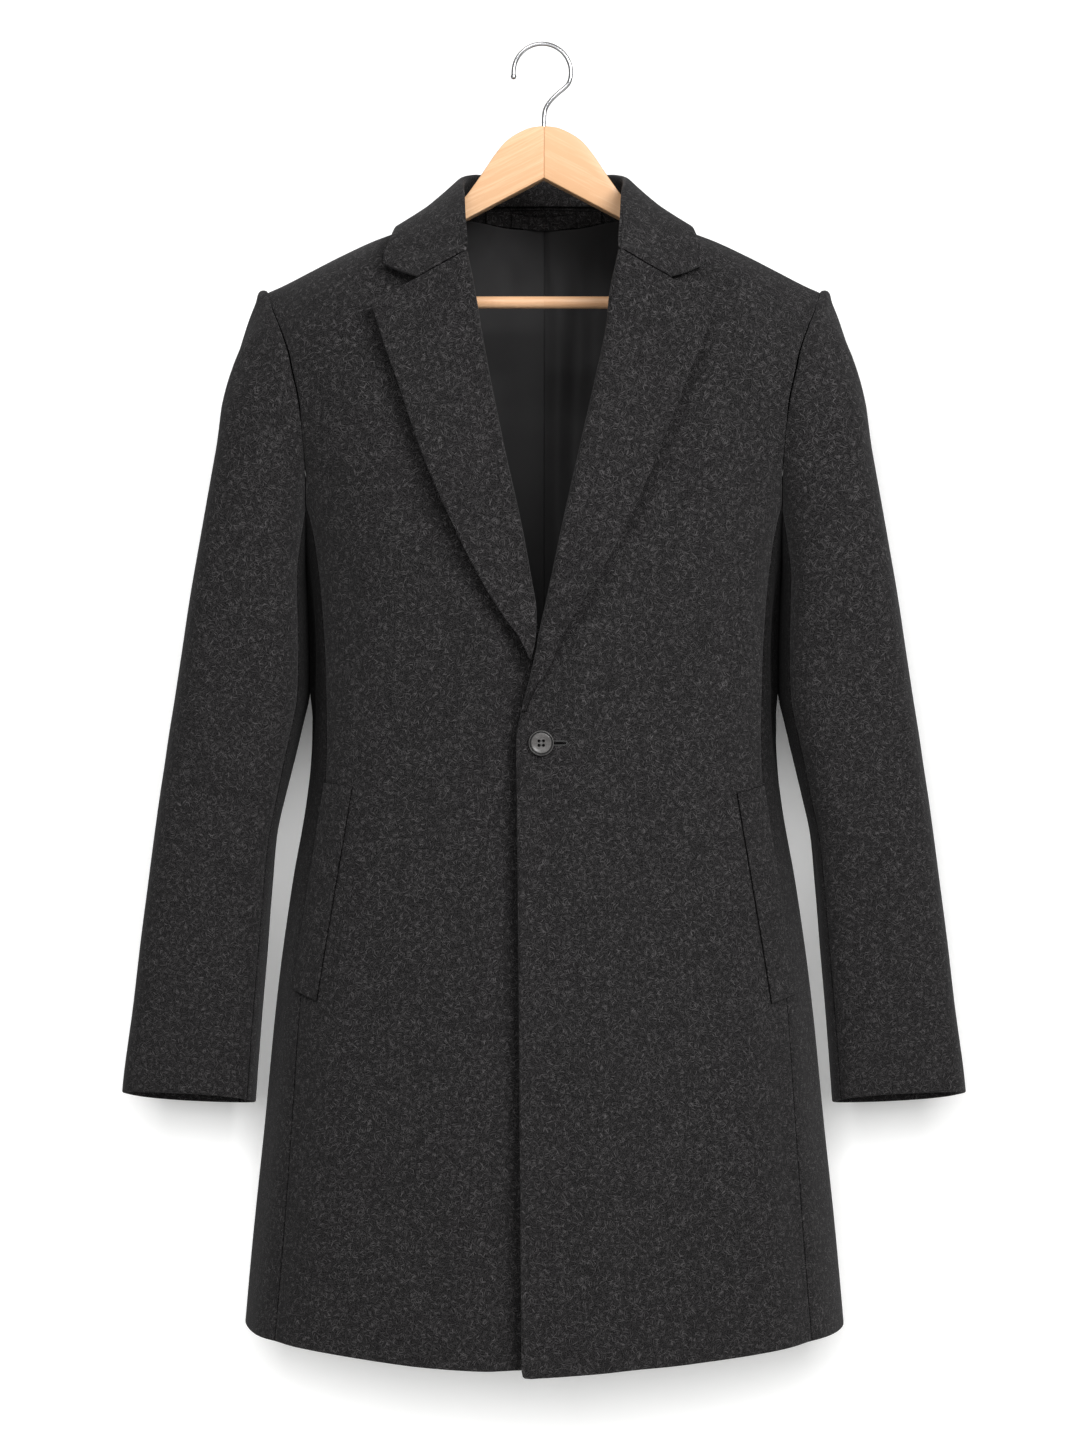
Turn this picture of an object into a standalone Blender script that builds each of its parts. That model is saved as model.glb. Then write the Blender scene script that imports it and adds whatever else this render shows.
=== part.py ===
"""Wool overcoat hanging on a wooden hanger.

Metres, +Z up. The front faces -Y and the wearer's left is at +X. The origin
is the underside of the hook's arch, where the whole thing is held.

Each cloth panel is a thin wall. Its outer face lies on one shared body shape,
or on one shared sleeve shape, so that neighbours meet at their seams.
"""
import bmesh
import bpy
import math
import numpy as np
from mathutils import Vector

# ---------------------------------------------------------------- main sizes
WOOL = 0.0028            # wall of the coat cloth
COLLAR_WALL = 0.0024     # wall of the collar
SATIN = 0.0010           # wall of the lining
SEAM_GAP = 0.0003        # between two pieces that meet
HAIR = 0.065             # degrees trimmed at an upright seam, half a gap
SHOULDER_HAIR = 0.00022  # trimmed at the shoulder seam
OVERLAP_LIFT = 0.0038    # the over front rides this far out at the middle
SHOULDER_ROUND = 0.110   # depth of the rounding below the shoulder line
FULLNESS = 0.16          # 0 is a plain ellipse, more is a squarer section
BACK_HEM_HEIGHT = -1.055
SLEEVE_FULLNESS = 0.12
HOOK_WIRE = 0.00175
HOOK_ARCH = 0.0240
ARM_DEPTH = 0.0080       # half the thickness of the wooden arms
BAR_RADIUS = 0.0051
LONG_ROWS = 28           # rows of a panel from hem to shoulder
SIDE_ROWS = 18           # of these, the rows below the armhole
ROW_CROWD = 1.2256

COLOURS = {
    "wool": ((0.020, 0.020, 0.022), 0.92, 0.0),
    "satin": ((0.012, 0.012, 0.013), 0.42, 0.0),
    "horn": ((0.060, 0.058, 0.058), 0.35, 0.0),
    "beech": ((0.560, 0.380, 0.220), 0.45, 0.0),
    "steel": ((0.620, 0.620, 0.630), 0.22, 1.0),
}


def table(columns, rows):
    """Turn a short table into named columns."""
    names = columns.split()
    return {name: np.array(values, float) for name, values in zip(names, zip(*rows))}


# Outer face of the body, from below the hem to above the shoulder.
BODY = table("height half front back", [
    (-1.085, 0.2495, 0.124, 0.108),
    (-0.990, 0.2400, 0.121, 0.104),
    (-0.891, 0.2290, 0.117, 0.100),
    (-0.791, 0.2187, 0.112, 0.094),
    (-0.692, 0.2058, 0.106, 0.083),
    (-0.625, 0.1959, 0.103, 0.076),
    (-0.575, 0.1924, 0.103, 0.073),
    (-0.520, 0.1918, 0.105, 0.075),
    (-0.460, 0.1935, 0.108, 0.080),
    (-0.418, 0.1970, 0.110, 0.084),
    (-0.370, 0.2080, 0.110, 0.088),
    (-0.320, 0.2260, 0.108, 0.091),
    (-0.270, 0.2370, 0.106, 0.092),
    (-0.200, 0.2400, 0.104, 0.091),
    (-0.080, 0.2400, 0.104, 0.090),
])
SHOULDER = table("across height", [
    (0.000, -0.0780),
    (0.040, -0.0940),
    (0.060, -0.1100),
    (0.080, -0.1312),
    (0.105, -0.1492),
    (0.123, -0.1563),
    (0.141, -0.1622),
    (0.169, -0.1745),
    (0.194, -0.1872),
    (0.217, -0.1993),
    (0.231, -0.2060),
    (0.260, -0.2215),
])
# The armhole, front and back: degrees round the body from the centre line.
ARMHOLE = table("height front back", [
    (-0.4180, 90.0, 90.0),
    (-0.4030, 76.0, 78.0),
    (-0.3750, 66.5, 70.0),
    (-0.3460, 59.5, 65.5),
    (-0.3200, 55.8, 63.0),
    (-0.2950, 54.3, 62.2),
    (-0.2680, 55.5, 62.6),
    (-0.2400, 60.0, 65.0),
    (-0.2058, 69.9, 70.1),
])
# Seams between the side body and the front, and the side body and the back.
SIDE_SEAMS = table("height front back", [
    (-1.080, 57.0, 62.0),
    (-0.980, 57.6, 62.0),
    (-0.900, 58.7, 62.5),
    (-0.790, 60.3, 63.0),
    (-0.610, 62.1, 64.0),
    (-0.500, 64.5, 67.0),
    (-0.420, 67.5, 70.0),
    (-0.375, 69.5, 72.0),
])
ARM_CORNER_FRONT = -0.3850
ARM_CORNER_BACK = -0.3830
# Hem height across the front.
HEM = table("across height", [
    (0.000, -1.0762),
    (0.045, -1.0757),
    (0.092, -1.0735),
    (0.148, -1.0682),
    (0.200, -1.0625),
    (0.217, -1.0608),
    (0.250, -1.0600),
])
# Front edge, roll line and neck seam of each front: distance from the middle,
# minus past the middle.
EDGE_LEFT = table("height across", [
    (-1.080, -0.0176),
    (-0.624, -0.0214),
    (-0.576, -0.0220),
    (-0.552, -0.0178),
    (-0.512, -0.0087),
    (-0.4465, 0.0055),
    (-0.3895, 0.0174),
    (-0.337, 0.0293),
    (-0.272, 0.0437),
    (-0.186, 0.0581),
    (-0.175, 0.0615),
    (-0.167, 0.0720),
    (-0.151, 0.0796),
    (-0.138, 0.0808),
    (-0.133, 0.0825),
])
EDGE_RIGHT = table("height across", [
    (-1.080, -0.0190),
    (-0.624, -0.0210),
    (-0.560, -0.0200),
    (-0.520, -0.0090),
    (-0.480, 0.0052),
    (-0.437, 0.0111),
    (-0.380, 0.0230),
    (-0.327, 0.0349),
    (-0.265, 0.0469),
    (-0.186, 0.0590),
    (-0.175, 0.0615),
    (-0.167, 0.0720),
    (-0.151, 0.0796),
    (-0.138, 0.0808),
    (-0.133, 0.0825),
])
LAPEL_LEFT = table("height roll outer", [
    (-0.5530, -0.0185, -0.0165),
    (-0.5380, -0.0146, -0.0112),
    (-0.5217, -0.0109, 0.0015),
    (-0.4924, -0.0045, 0.0142),
    (-0.4465, 0.0055, 0.0412),
    (-0.4077, 0.0136, 0.0625),
    (-0.3504, 0.0263, 0.0880),
    (-0.2928, 0.0391, 0.1105),
    (-0.2400, 0.0491, 0.1310),
    (-0.2284, 0.0510, 0.1345),
    (-0.1860, 0.0581, 0.1345),
])
LAPEL_RIGHT = table("height roll outer", [
    (-0.5110, 0.0098, 0.0112),
    (-0.4950, 0.0064, 0.0190),
    (-0.4773, 0.0056, 0.0317),
    (-0.4456, 0.0102, 0.0508),
    (-0.4075, 0.0172, 0.0698),
    (-0.3501, 0.0298, 0.0948),
    (-0.2924, 0.0417, 0.1146),
    (-0.2447, 0.0511, 0.1308),
    (-0.2279, 0.0541, 0.1352),
    (-0.1860, 0.0590, 0.1352),
])
# Top edge of a lapel, from the roll to the tip.
GORGE = table("across height", [
    (0.058, -0.1805),
    (0.102, -0.2075),
    (0.136, -0.2290),
])
# Half of the collar, from the middle of the back to the collar tip:
# sewn edge, fold and free edge.
COLLAR = table("way sx sy sz fx fy fz ex ey ez", [
    (0.00, 0.000, 0.0735, -0.1217, 0.000, 0.0750, -0.0950, 0.000, 0.0955, -0.1550),
    (0.16, 0.040, 0.0640, -0.1237, 0.036, 0.0640, -0.0960, 0.058, 0.0900, -0.1570),
    (0.30, 0.063, 0.0440, -0.1262, 0.054, 0.0400, -0.0990, 0.098, 0.0640, -0.1590),
    (0.42, 0.0797, 0.0060, -0.1288, 0.0640, 0.0080, -0.1070, 0.1200, 0.0120, -0.1512),
    (0.54, 0.0782, -0.0385, -0.1350, 0.0655, -0.0310, -0.1190, 0.1220, -0.0320, -0.1550),
    (0.66, 0.0722, -0.0685, -0.1530, 0.0642, -0.0630, -0.1400, 0.1250, -0.0550, -0.1665),
    (0.77, 0.0640, -0.0945, -0.1745, 0.0610, -0.0950, -0.1690, 0.1280, -0.0645, -0.1765),
    (0.90, 0.0840, -0.0990, -0.1918, 0.0840, -0.0990, -0.1918, 0.1300, -0.0705, -0.1850),
    (1.00, 0.1012, -0.0978, -0.2025, 0.1012, -0.0978, -0.2025, 0.1300, -0.0745, -0.1915),
])
# Sleeve seen from the front, and its depth from front to back.
SLEEVE = table("height inner outer depth middle", [
    (-0.890, 0.2395, 0.3500, 0.036, -0.010),
    (-0.859, 0.2374, 0.3474, 0.037, -0.010),
    (-0.792, 0.2324, 0.3385, 0.042, -0.009),
    (-0.742, 0.2282, 0.3328, 0.046, -0.007),
    (-0.693, 0.2241, 0.3265, 0.050, -0.005),
    (-0.659, 0.2208, 0.3222, 0.053, -0.003),
    (-0.626, 0.2141, 0.3178, 0.056, -0.001),
    (-0.593, 0.2070, 0.3128, 0.059, 0.000),
    (-0.576, 0.2008, 0.3104, 0.061, 0.001),
    (-0.543, 0.1965, 0.3050, 0.064, 0.001),
    (-0.510, 0.1965, 0.2998, 0.066, 0.001),
    (-0.460, 0.1975, 0.2920, 0.070, 0.001),
    (-0.410, 0.1992, 0.2830, 0.073, 0.001),
    (-0.377, 0.1992, 0.2770, 0.074, 0.001),
    (-0.344, 0.1992, 0.2710, 0.074, 0.001),
    (-0.294, 0.1992, 0.2615, 0.073, 0.001),
])
SLEEVE_FRONT_SEAM = 146.0
SLEEVE_BACK_SEAM = 232.0
CUFF_HEIGHT = -0.8717
CUFF_SLANT = 0.0065      # the cuff's front is higher than its back
CUFF_RISE = 0.0037       # and its outer side is higher than its inner side
HEAD_PART = 0.34         # share of a sleeve piece that is its head
ELBOW_PART = 0.64
HEAD_HAIR = 0.0022       # shares of the piece trimmed at the two gaps
ELBOW_HAIR = 0.0005
# Pocket welt corners: distance from the middle and height.
WELT_LEFT = ((0.1548, -0.6188), (0.1778, -0.6125), (0.2046, -0.7825), (0.1825, -0.7885))
WELT_RIGHT = ((0.1535, -0.6132), (0.1778, -0.6106), (0.2035, -0.7785), (0.1818, -0.7865))
# Half of the wooden arms seen from the front.
HANGER_TOP = table("across height", [
    (0.0000, -0.0680),
    (0.0100, -0.0692),
    (0.0197, -0.0730),
    (0.0306, -0.0800),
    (0.0410, -0.0922),
    (0.0479, -0.1025),
    (0.0576, -0.1165),
    (0.0660, -0.1275),
    (0.0800, -0.1400),
    (0.1050, -0.1574),
    (0.1310, -0.1683),
    (0.1600, -0.1792),
    (0.1850, -0.1915),
    (0.2000, -0.1990),
])
HANGER_UNDER_MIDDLE = -0.1110
HANGER_UNDER_SLOPE = 0.526
HANGER_END = 0.2040
BAR_HEIGHT = -0.2132
BAR_END = 0.1785
# The top sleeve is built in three lengths: name, start, end and rows of each.
SLEEVE_LENGTHS = (
    ("_head", 0, HEAD_PART - HEAD_HAIR, 7),
    ("_upper", HEAD_PART + HEAD_HAIR, ELBOW_PART - ELBOW_HAIR, 6),
    ("_lower", ELBOW_PART + ELBOW_HAIR, 1, 7),
)


# ------------------------------------------------------------ small helpers
def smooth(at, xs, ys):
    """Read a table with an even curve that never overshoots its rows."""
    at = np.asarray(at, float)
    step = np.diff(xs)
    rise = np.diff(ys) / step
    slope = np.empty_like(ys)
    slope[0] = rise[0]
    slope[-1] = rise[-1]
    before, after = rise[:-1], rise[1:]
    same = before * after > 0
    near = 2 * step[1:] + step[:-1]
    far = step[1:] + 2 * step[:-1]
    safe_before = np.where(same, before, 1.0)
    safe_after = np.where(same, after, 1.0)
    mean = (near + far) / (near / safe_before + far / safe_after)
    slope[1:-1] = np.where(same, mean, 0.0)
    cell = np.clip(np.searchsorted(xs, at) - 1, 0, len(step) - 1)
    part = np.clip((at - xs[cell]) / step[cell], 0, 1)
    over = at - (xs[cell] + part * step[cell])
    value = ys[cell] * (1 + 2 * part) * (1 - part) ** 2
    value = value + ys[cell + 1] * part ** 2 * (3 - 2 * part)
    value = value + step[cell] * slope[cell] * part * (1 - part) ** 2
    value = value - step[cell] * slope[cell + 1] * part ** 2 * (1 - part)
    return value + over * np.where(over < 0, slope[0], slope[-1])


def read(rows, at, column):
    """Read one column of a table by its first column."""
    first = next(iter(rows))
    return smooth(at, rows[first], rows[column])


def ease(start, end, value):
    """0 before start, 1 after end, and an even curve between."""
    part = np.clip((value - start) / (end - start), 0, 1)
    return part * part * (3 - 2 * part)


def unit(vectors):
    return vectors / np.linalg.norm(vectors, axis=-1, keepdims=True)


def ring(turn, fullness):
    """A slightly squared circle: how far across and how far forward."""
    s, c = np.sin(np.radians(turn)), np.cos(np.radians(turn))
    return s * (1 + fullness * c * c), c * (1 + fullness * s * s)


# --------------------------------------------------------------- body shape
def fall(drop):
    """Height lost after going this far down the cloth from the shoulder line."""
    bend = SHOULDER_ROUND
    rounded = bend * (1 - np.cos(np.clip(drop / bend, 0, math.pi / 2)))
    return rounded + np.maximum(drop - bend * math.pi / 2, 0)


def drop_for(fallen):
    """The opposite of fall()."""
    bend = SHOULDER_ROUND
    inside = bend * np.arccos(np.clip(1 - fallen / bend, 0, 1))
    return inside + np.maximum(fallen - bend, 0)


def body(turn, drop):
    """A point of the body, at +X: degrees from the centre front, and drop."""
    turn, drop = np.broadcast_arrays(np.asarray(turn, float), np.asarray(drop, float))
    across, forward = ring(turn, FULLNESS)
    z = np.full(turn.shape, -0.4)
    for _ in range(14):
        x = read(BODY, z, "half") * across
        z = read(SHOULDER, np.abs(x), "height") - fall(drop)
    x = read(BODY, z, "half") * across
    depth = np.where(forward > 0, read(BODY, z, "front"), read(BODY, z, "back"))
    rounding = np.sin(np.clip(drop / SHOULDER_ROUND, 0, math.pi / 2))
    return np.stack([x, -depth * forward * rounding, z], -1)


def drop_at(turn, z):
    across, _ = ring(turn, FULLNESS)
    x = read(BODY, z, "half") * across
    return drop_for(np.maximum(read(SHOULDER, np.abs(x), "height") - z, 0))


def turn_at(x, z):
    """Degrees from the centre line for a place seen straight on."""
    goal = np.asarray(x, float) / read(BODY, z, "half")
    s = np.clip(goal, -1, 1)
    for _ in range(40):
        s = np.clip(goal / (1 + FULLNESS * (1 - s * s)), -1, 1)
    return np.degrees(np.arcsin(s))


def body_out(turn, drop):
    """Outward direction of the body's face."""
    low = np.maximum(drop - 0.001, 0)
    along = body(turn + 0.3, drop) - body(turn - 0.3, drop)
    down = body(turn, low + 0.002) - body(turn, low)
    return unit(np.cross(down, along))


def moved_out(turn, drop, out):
    """Outer and inner faces need the point and its outward direction."""
    normal = body_out(turn, drop)
    return body(turn, drop) + normal * np.asarray(out)[..., None], normal


def overlap_lift(x):
    """How far the over front rides above the body shape."""
    return OVERLAP_LIFT * (1 - ease(0.030, 0.085, x))


# ------------------------------------------------------------ building walls
def new_object(name, mesh, look):
    part = bpy.data.objects.new(name, mesh)
    bpy.data.collections["wool_overcoat"].objects.link(part)
    colour, roughness, metallic = COLOURS[look]
    material = bpy.data.materials.new(name + "_" + look)
    material.use_nodes = True
    shader = material.node_tree.nodes["Principled BSDF"]
    shader.inputs["Base Color"].default_value = (*colour, 1.0)
    shader.inputs["Roughness"].default_value = roughness
    shader.inputs["Metallic"].default_value = metallic
    mesh.materials.append(material)
    return part


def finish_mesh(bm, name, look):
    bm.normal_update()
    bmesh.ops.recalc_face_normals(bm, faces=bm.faces)
    mesh = bpy.data.meshes.new(name)
    bm.to_mesh(mesh)
    bm.free()
    mesh.shade_smooth()
    return new_object(name, mesh, look)


def wall(name, place, columns, rows, thickness, side=1, look="wool"):
    """A sheet of cloth: a flat grid laid on its place, then given its wall.

    place(u, v) gives the outer face and its outward direction.
    """
    bm = bmesh.new()
    bmesh.ops.create_grid(bm, x_segments=columns, y_segments=rows, size=0.5)
    flat = np.array([vert.co[:] for vert in bm.verts])
    outer, normal = place(flat[:, 0] + 0.5, flat[:, 1] + 0.5)
    inner = outer - normal * thickness
    mirror = np.array([side, 1, 1])
    faces = bmesh.ops.extrude_face_region(bm, geom=bm.faces[:])
    made = [item for item in faces["geom"] if isinstance(item, bmesh.types.BMVert)]
    order = {tuple(np.round(row[:2], 6)): i for i, row in enumerate(flat)}
    for vert in made:
        vert.co = Vector(inner[order[tuple(np.round(vert.co[:2], 6))]] * mirror)
        vert.tag = True
    for vert in bm.verts:
        if not vert.tag:
            vert.co = Vector(outer[order[tuple(np.round(vert.co[:2], 6))]] * mirror)
    return finish_mesh(bm, name, look)


def side_word(side):
    return "left" if side > 0 else "right"


def long_rows(v):
    """Rows of a panel from hem to shoulder, closer together at the top."""
    return (1 - v) ** ROW_CROWD


def short_rows(v):
    """The same rows, for a panel that stops at the armhole."""
    share = SIDE_ROWS / LONG_ROWS
    top = (1 - share) ** ROW_CROWD
    return ((1 - v * share) ** ROW_CROWD - top) / (1 - top)


def even(u, v):
    return u


def panel(left, right, low, high, rows=long_rows, columns=even):
    """Lay a grid between two upright edges and two level ones.

    left and right give degrees for a height; low and high give drops for
    degrees.
    """
    def spot(u, v):
        turn = np.full(u.shape, 60.0)
        for _ in range(16):
            bottom, top = low(turn), high(turn)
            drop = top + (bottom - top) * rows(v)
            z = body(turn, drop)[..., 2]
            turn = left(z) + (right(z) - left(z)) * columns(u, v)
        return turn, drop
    return spot


def hem_drop(turn, dip=0.0):
    """The hem; the front that laps over dips a little toward its edge."""
    across, _ = ring(turn, FULLNESS)
    x = 0.247 * across
    return drop_at(turn, read(HEM, np.abs(x), "height") - dip * ease(0.08, -0.03, x))


def back_hem_drop(turn):
    return drop_at(turn, np.full(np.shape(turn), BACK_HEM_HEIGHT))


def top_drop(turn):
    return np.full(np.shape(turn), SHOULDER_HAIR)


def front_side_edge(z):
    """The side seam below the armhole, and the armhole above it."""
    seam = read(SIDE_SEAMS, z, "front")
    arm = read(ARMHOLE, z, "front")
    return np.where(z < ARM_CORNER_FRONT, seam, np.minimum(arm, 71.5)) - HAIR


def back_side_edge(z):
    seam = read(SIDE_SEAMS, z, "back")
    arm = read(ARMHOLE, z, "back")
    turn = np.where(z < ARM_CORNER_BACK, seam, np.minimum(arm, 72.5))
    return 180 - turn + HAIR


def front(side):
    rows = EDGE_LEFT if side > 0 else EDGE_RIGHT
    dip = 0.0045 if side > 0 else 0.0
    spot = panel(lambda z: turn_at(read(rows, z, "across"), z), front_side_edge,
                 lambda turn: hem_drop(turn, dip), top_drop)

    def place(u, v):
        turn, drop = spot(u, v)
        x = body(turn, drop)[..., 0]
        out = overlap_lift(x) if side > 0 else np.zeros_like(x)
        return moved_out(turn, drop, out)
    return wall("front_" + side_word(side), place, 12, LONG_ROWS, WOOL, side)


def round_the_neck(u, v):
    """Columns of a back panel, closer together where the neck turns."""
    close = np.interp(u, np.linspace(0, 1, 11),
                      [0, 0.07, 0.13, 0.18, 0.215, 0.245, 0.36, 0.50, 0.66, 0.83, 1])
    return u + (close - u) * ease(0.60, 0.95, v)


def back(side):
    def neck(turn):
        x = np.abs(body(turn, 0.02)[..., 0])
        z = np.interp(x, [0, 0.04, 0.06, 0.076, 0.0825], [-0.122, -0.124, -0.1275, -0.131, -0.1331])
        inside = drop_at(turn, z)
        return np.where(x < 0.0820, np.maximum(inside, SHOULDER_HAIR), SHOULDER_HAIR)
    middle = 180 - HAIR
    spot = panel(lambda z: np.full(np.shape(z), middle), back_side_edge, back_hem_drop, neck,
                 columns=round_the_neck)
    return wall("back_" + side_word(side), lambda u, v: moved_out(*spot(u, v), 0 * u), 10, LONG_ROWS,
                WOOL, side)


def underarm_drop(turn, lower=0.0):
    """The armhole's lowest part, as a top edge for the side body."""
    table_front = np.interp(turn, ARMHOLE["front"][3::-1], ARMHOLE["height"][3::-1])
    table_back = np.interp(180 - turn, ARMHOLE["back"][3::-1], ARMHOLE["height"][3::-1])
    return drop_at(turn, np.where(turn < 90, table_front, table_back) - lower)


def side_spot():
    """The side body lies between the two side seams, below the armhole."""
    def high(turn):
        return underarm_drop(turn, SEAM_GAP)

    def low(turn):
        return hem_drop(turn) * ease(125, 65, turn) + back_hem_drop(turn) * ease(65, 125, turn)
    return panel(lambda z: read(SIDE_SEAMS, z, "front") + HAIR,
                 lambda z: 180 - read(SIDE_SEAMS, z, "back") - HAIR, low, high, short_rows)


def side_body(side):
    spot = side_spot()
    return wall("side_" + side_word(side), lambda u, v: moved_out(*spot(u, v), 0 * u), 6, SIDE_ROWS,
                WOOL, side)


# ------------------------------------------------------------------- sleeve
def armhole(fraction, back_half):
    """A point of the armhole seam, from the shoulder down to the underarm."""
    heights = np.linspace(ARMHOLE["height"][-1], ARMHOLE["height"][0], 160)
    name = "back" if back_half else "front"
    turn = read(ARMHOLE, heights, name)
    turn = np.minimum(turn, 90)
    turn = 180 - turn if back_half else turn
    points = body(turn, drop_at(turn, heights))
    steps = np.linalg.norm(np.diff(points, axis=0), axis=1)
    way = np.concatenate([[0], np.cumsum(steps)])
    way = way / way[-1]
    return np.stack([np.interp(fraction, way, points[:, k]) for k in range(3)], -1)


def armhole_ring(turn):
    """Sleeve degrees: 0 outer, 90 front, 180 inner, 270 back."""
    turn = np.asarray(turn, float) % 360
    front_part = armhole(np.clip(turn / 180, 0, 1), False)
    back_part = armhole(np.clip((360 - turn) / 180, 0, 1), True)
    point = np.where((turn <= 180)[..., None], front_part, back_part)
    c = np.cos(np.radians(turn))
    clear = 0.0007
    point[..., 0] += clear
    point[..., 2] += 0.0012 * ease(0.2, 1.0, c)
    return point


def sleeve_tube(turn, z):
    inner = read(SLEEVE, z, "inner")
    outer = read(SLEEVE, z, "outer")
    s, c = np.sin(np.radians(turn)), np.cos(np.radians(turn))
    x = (inner + outer) / 2 + (outer - inner) / 2 * c * (1 + SLEEVE_FULLNESS * s * s)
    y = read(SLEEVE, z, "middle") - read(SLEEVE, z, "depth") * s * (1 + SLEEVE_FULLNESS * c * c)
    return np.stack([x, y, z], -1)


def sleeve(turn, way):
    """A point of the sleeve: way 0 at the armhole, 1 where the tube starts,
    and 2 at the cuff.
    """
    turn, way = np.broadcast_arrays(np.asarray(turn, float), np.asarray(way, float))
    s, c = np.sin(np.radians(turn)), np.cos(np.radians(turn))
    start = armhole_ring(turn)
    tube_top = -0.388 + 0.088 * np.maximum(c, 0) - 0.075 * np.maximum(-c, 0)
    cuff = CUFF_HEIGHT + CUFF_SLANT * s + CUFF_RISE * c
    t = np.clip(way, 0, 1)
    z_tube = tube_top + (cuff - tube_top) * np.clip(way - 1, 0, 1)
    joined = sleeve_tube(turn, tube_top)
    below = sleeve_tube(turn, tube_top - 0.002)
    reach = np.linalg.norm(joined - start, axis=-1)
    lead = np.stack([0.15 + 0.85 * np.clip((1.6 + 2 * c) / 2.2, 0, 1), -0.30 * s,
                     -0.48 + 0.62 * c], -1)
    lead = unit(lead) * (reach * (1.05 - 0.70 * np.maximum(c, 0)))[..., None]
    arrive = (below - joined) / 0.002 * (reach * 1.05)[..., None]
    t = t[..., None]
    cap = start * (1 + 2 * t) * (1 - t) ** 2 + joined * t * t * (3 - 2 * t)
    cap = cap + lead * t * (1 - t) ** 2 - arrive * t * t * (1 - t)
    return np.where((way > 1)[..., None], sleeve_tube(turn, z_tube), cap)


def sleeve_out(turn, way):
    low = np.clip(way - 0.01, 0, 2)
    high = np.clip(way + 0.01, 0, 2)
    around = sleeve(turn + 1, way) - sleeve(turn - 1, way)
    down = sleeve(turn, high) - sleeve(turn, low)
    return unit(np.cross(around, down))


def sleeve_wall(name, start, end, stops, columns, side):
    """A wall of the sleeve between two seams, with its rows at these stops."""
    def place(u, v):
        turn = start + HAIR * 2 + (end - start - HAIR * 4) * u
        down = np.interp(v, np.linspace(0, 1, len(stops)), stops)
        head = down / HEAD_PART
        tube = 1 + (down - HEAD_PART) / (1 - HEAD_PART)
        way = np.where(down < HEAD_PART, head, tube)
        return sleeve(turn, way), sleeve_out(turn, way)
    wall(name, place, columns, len(stops) - 1, WOOL, side)


def sleeves(side):
    word = side_word(side)
    every_stop = []
    for length, first, last, rows in SLEEVE_LENGTHS:
        stops = np.linspace(first, last, rows + 1)
        every_stop.extend(stops)
        top = f"top_sleeve_{word}{length}"
        sleeve_wall(top, SLEEVE_BACK_SEAM - 360, SLEEVE_FRONT_SEAM, stops, 14, side)
    sleeve_wall(f"under_sleeve_{word}", SLEEVE_FRONT_SEAM, SLEEVE_BACK_SEAM, every_stop, 5, side)


# --------------------------------------------------------- lapels and collar
def front_spot(x, z):
    turn = turn_at(x, z)
    return turn, drop_at(turn, z)


def lapel(side):
    rows = LAPEL_LEFT if side > 0 else LAPEL_RIGHT
    bottom = rows["height"][0]

    def place(u, v):
        z = np.full(u.shape, -0.35)
        for _ in range(16):
            roll = read(rows, z, "roll") + SEAM_GAP
            outer = read(rows, z, "outer")
            x = roll + (outer - roll) * u
            z = bottom + (read(GORGE, x, "height") - bottom) * v
        turn, drop = front_spot(x, z)
        base = overlap_lift(x) if side > 0 else 0 * x
        width = np.clip((outer - roll) / 0.06, 0.15, 1)
        out = base + WOOL + SEAM_GAP + 0.0012 + 0.0042 * width * u ** 1.5
        return moved_out(turn, drop, out)
    return wall("lapel_" + side_word(side), place, 6, 18, WOOL, side)


def collar_section(way):
    """Points across the collar: sewn edge, over the fold, to the free edge."""
    def column(names):
        return np.array([read(COLLAR, way, name) for name in names])
    sewn, fold, free = column(("sx", "sy", "sz")), column(("fx", "fy", "fz")), column(("ex", "ey", "ez"))
    stand = np.linalg.norm(fold - sewn)
    if stand < 0.004:
        bulge = unit(np.cross(free - sewn, np.array([0.5, 0.3, -0.8])))
        points = [sewn + (free - sewn) * t for t in np.linspace(0, 1, 9)]
        return np.array(points)
    out = free - sewn
    out[2] = 0
    out = unit(out)
    bend = min(0.0036, stand * 0.35)
    turns = np.linspace(math.pi, 0, 9)
    arc = [fold + out * bend * (1 + math.cos(t)) + np.array([0, 0, bend * (math.sin(t) - 1)]) for t in turns]
    return np.array([sewn, (sewn + arc[0]) / 2, *arc, (free + arc[-1]) / 2 - np.array([0, 0, 0.0022]), free])


def crowd_at_bends(points, count):
    """Spread points along a line, closer together where it bends."""
    fine = np.linspace(0, len(points) - 1, 400)
    line = np.stack([np.interp(fine, np.arange(len(points)), points[:, k]) for k in range(3)], -1)
    steps = np.linalg.norm(np.diff(line, axis=0), axis=1)
    heading = unit(np.diff(line, axis=0) + 1e-12)
    bend = np.concatenate([[0], np.arccos(np.clip((heading[1:] * heading[:-1]).sum(1), -1, 1))])
    weight = np.concatenate([[0], np.cumsum(steps + 0.010 * bend)])
    goal = np.linspace(0, weight[-1], count)
    return np.stack([np.interp(goal, weight, line[:, k]) for k in range(3)], -1)


def collar():
    ways = np.linspace(-1, 1, 33)
    count = 13
    half = {}
    for way in np.unique(np.round(np.abs(ways), 6)):
        half[way] = crowd_at_bends(collar_section(way), count)
    grid = []
    for way in ways:
        points = half[round(abs(way), 6)].copy()
        points[:, 0] *= 1 if way >= 0 else -1
        grid.append(points)
    grid = np.array(grid)
    along = np.gradient(grid, axis=0)
    across = np.gradient(grid, axis=1)
    normals = unit(np.cross(along, across))

    def place(u, v):
        i = np.rint(u * (len(ways) - 1)).astype(int)
        j = np.rint(v * (count - 1)).astype(int)
        return grid[i, j], normals[i, j]
    return wall("collar", place, len(ways) - 1, count - 1, COLLAR_WALL)


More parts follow.
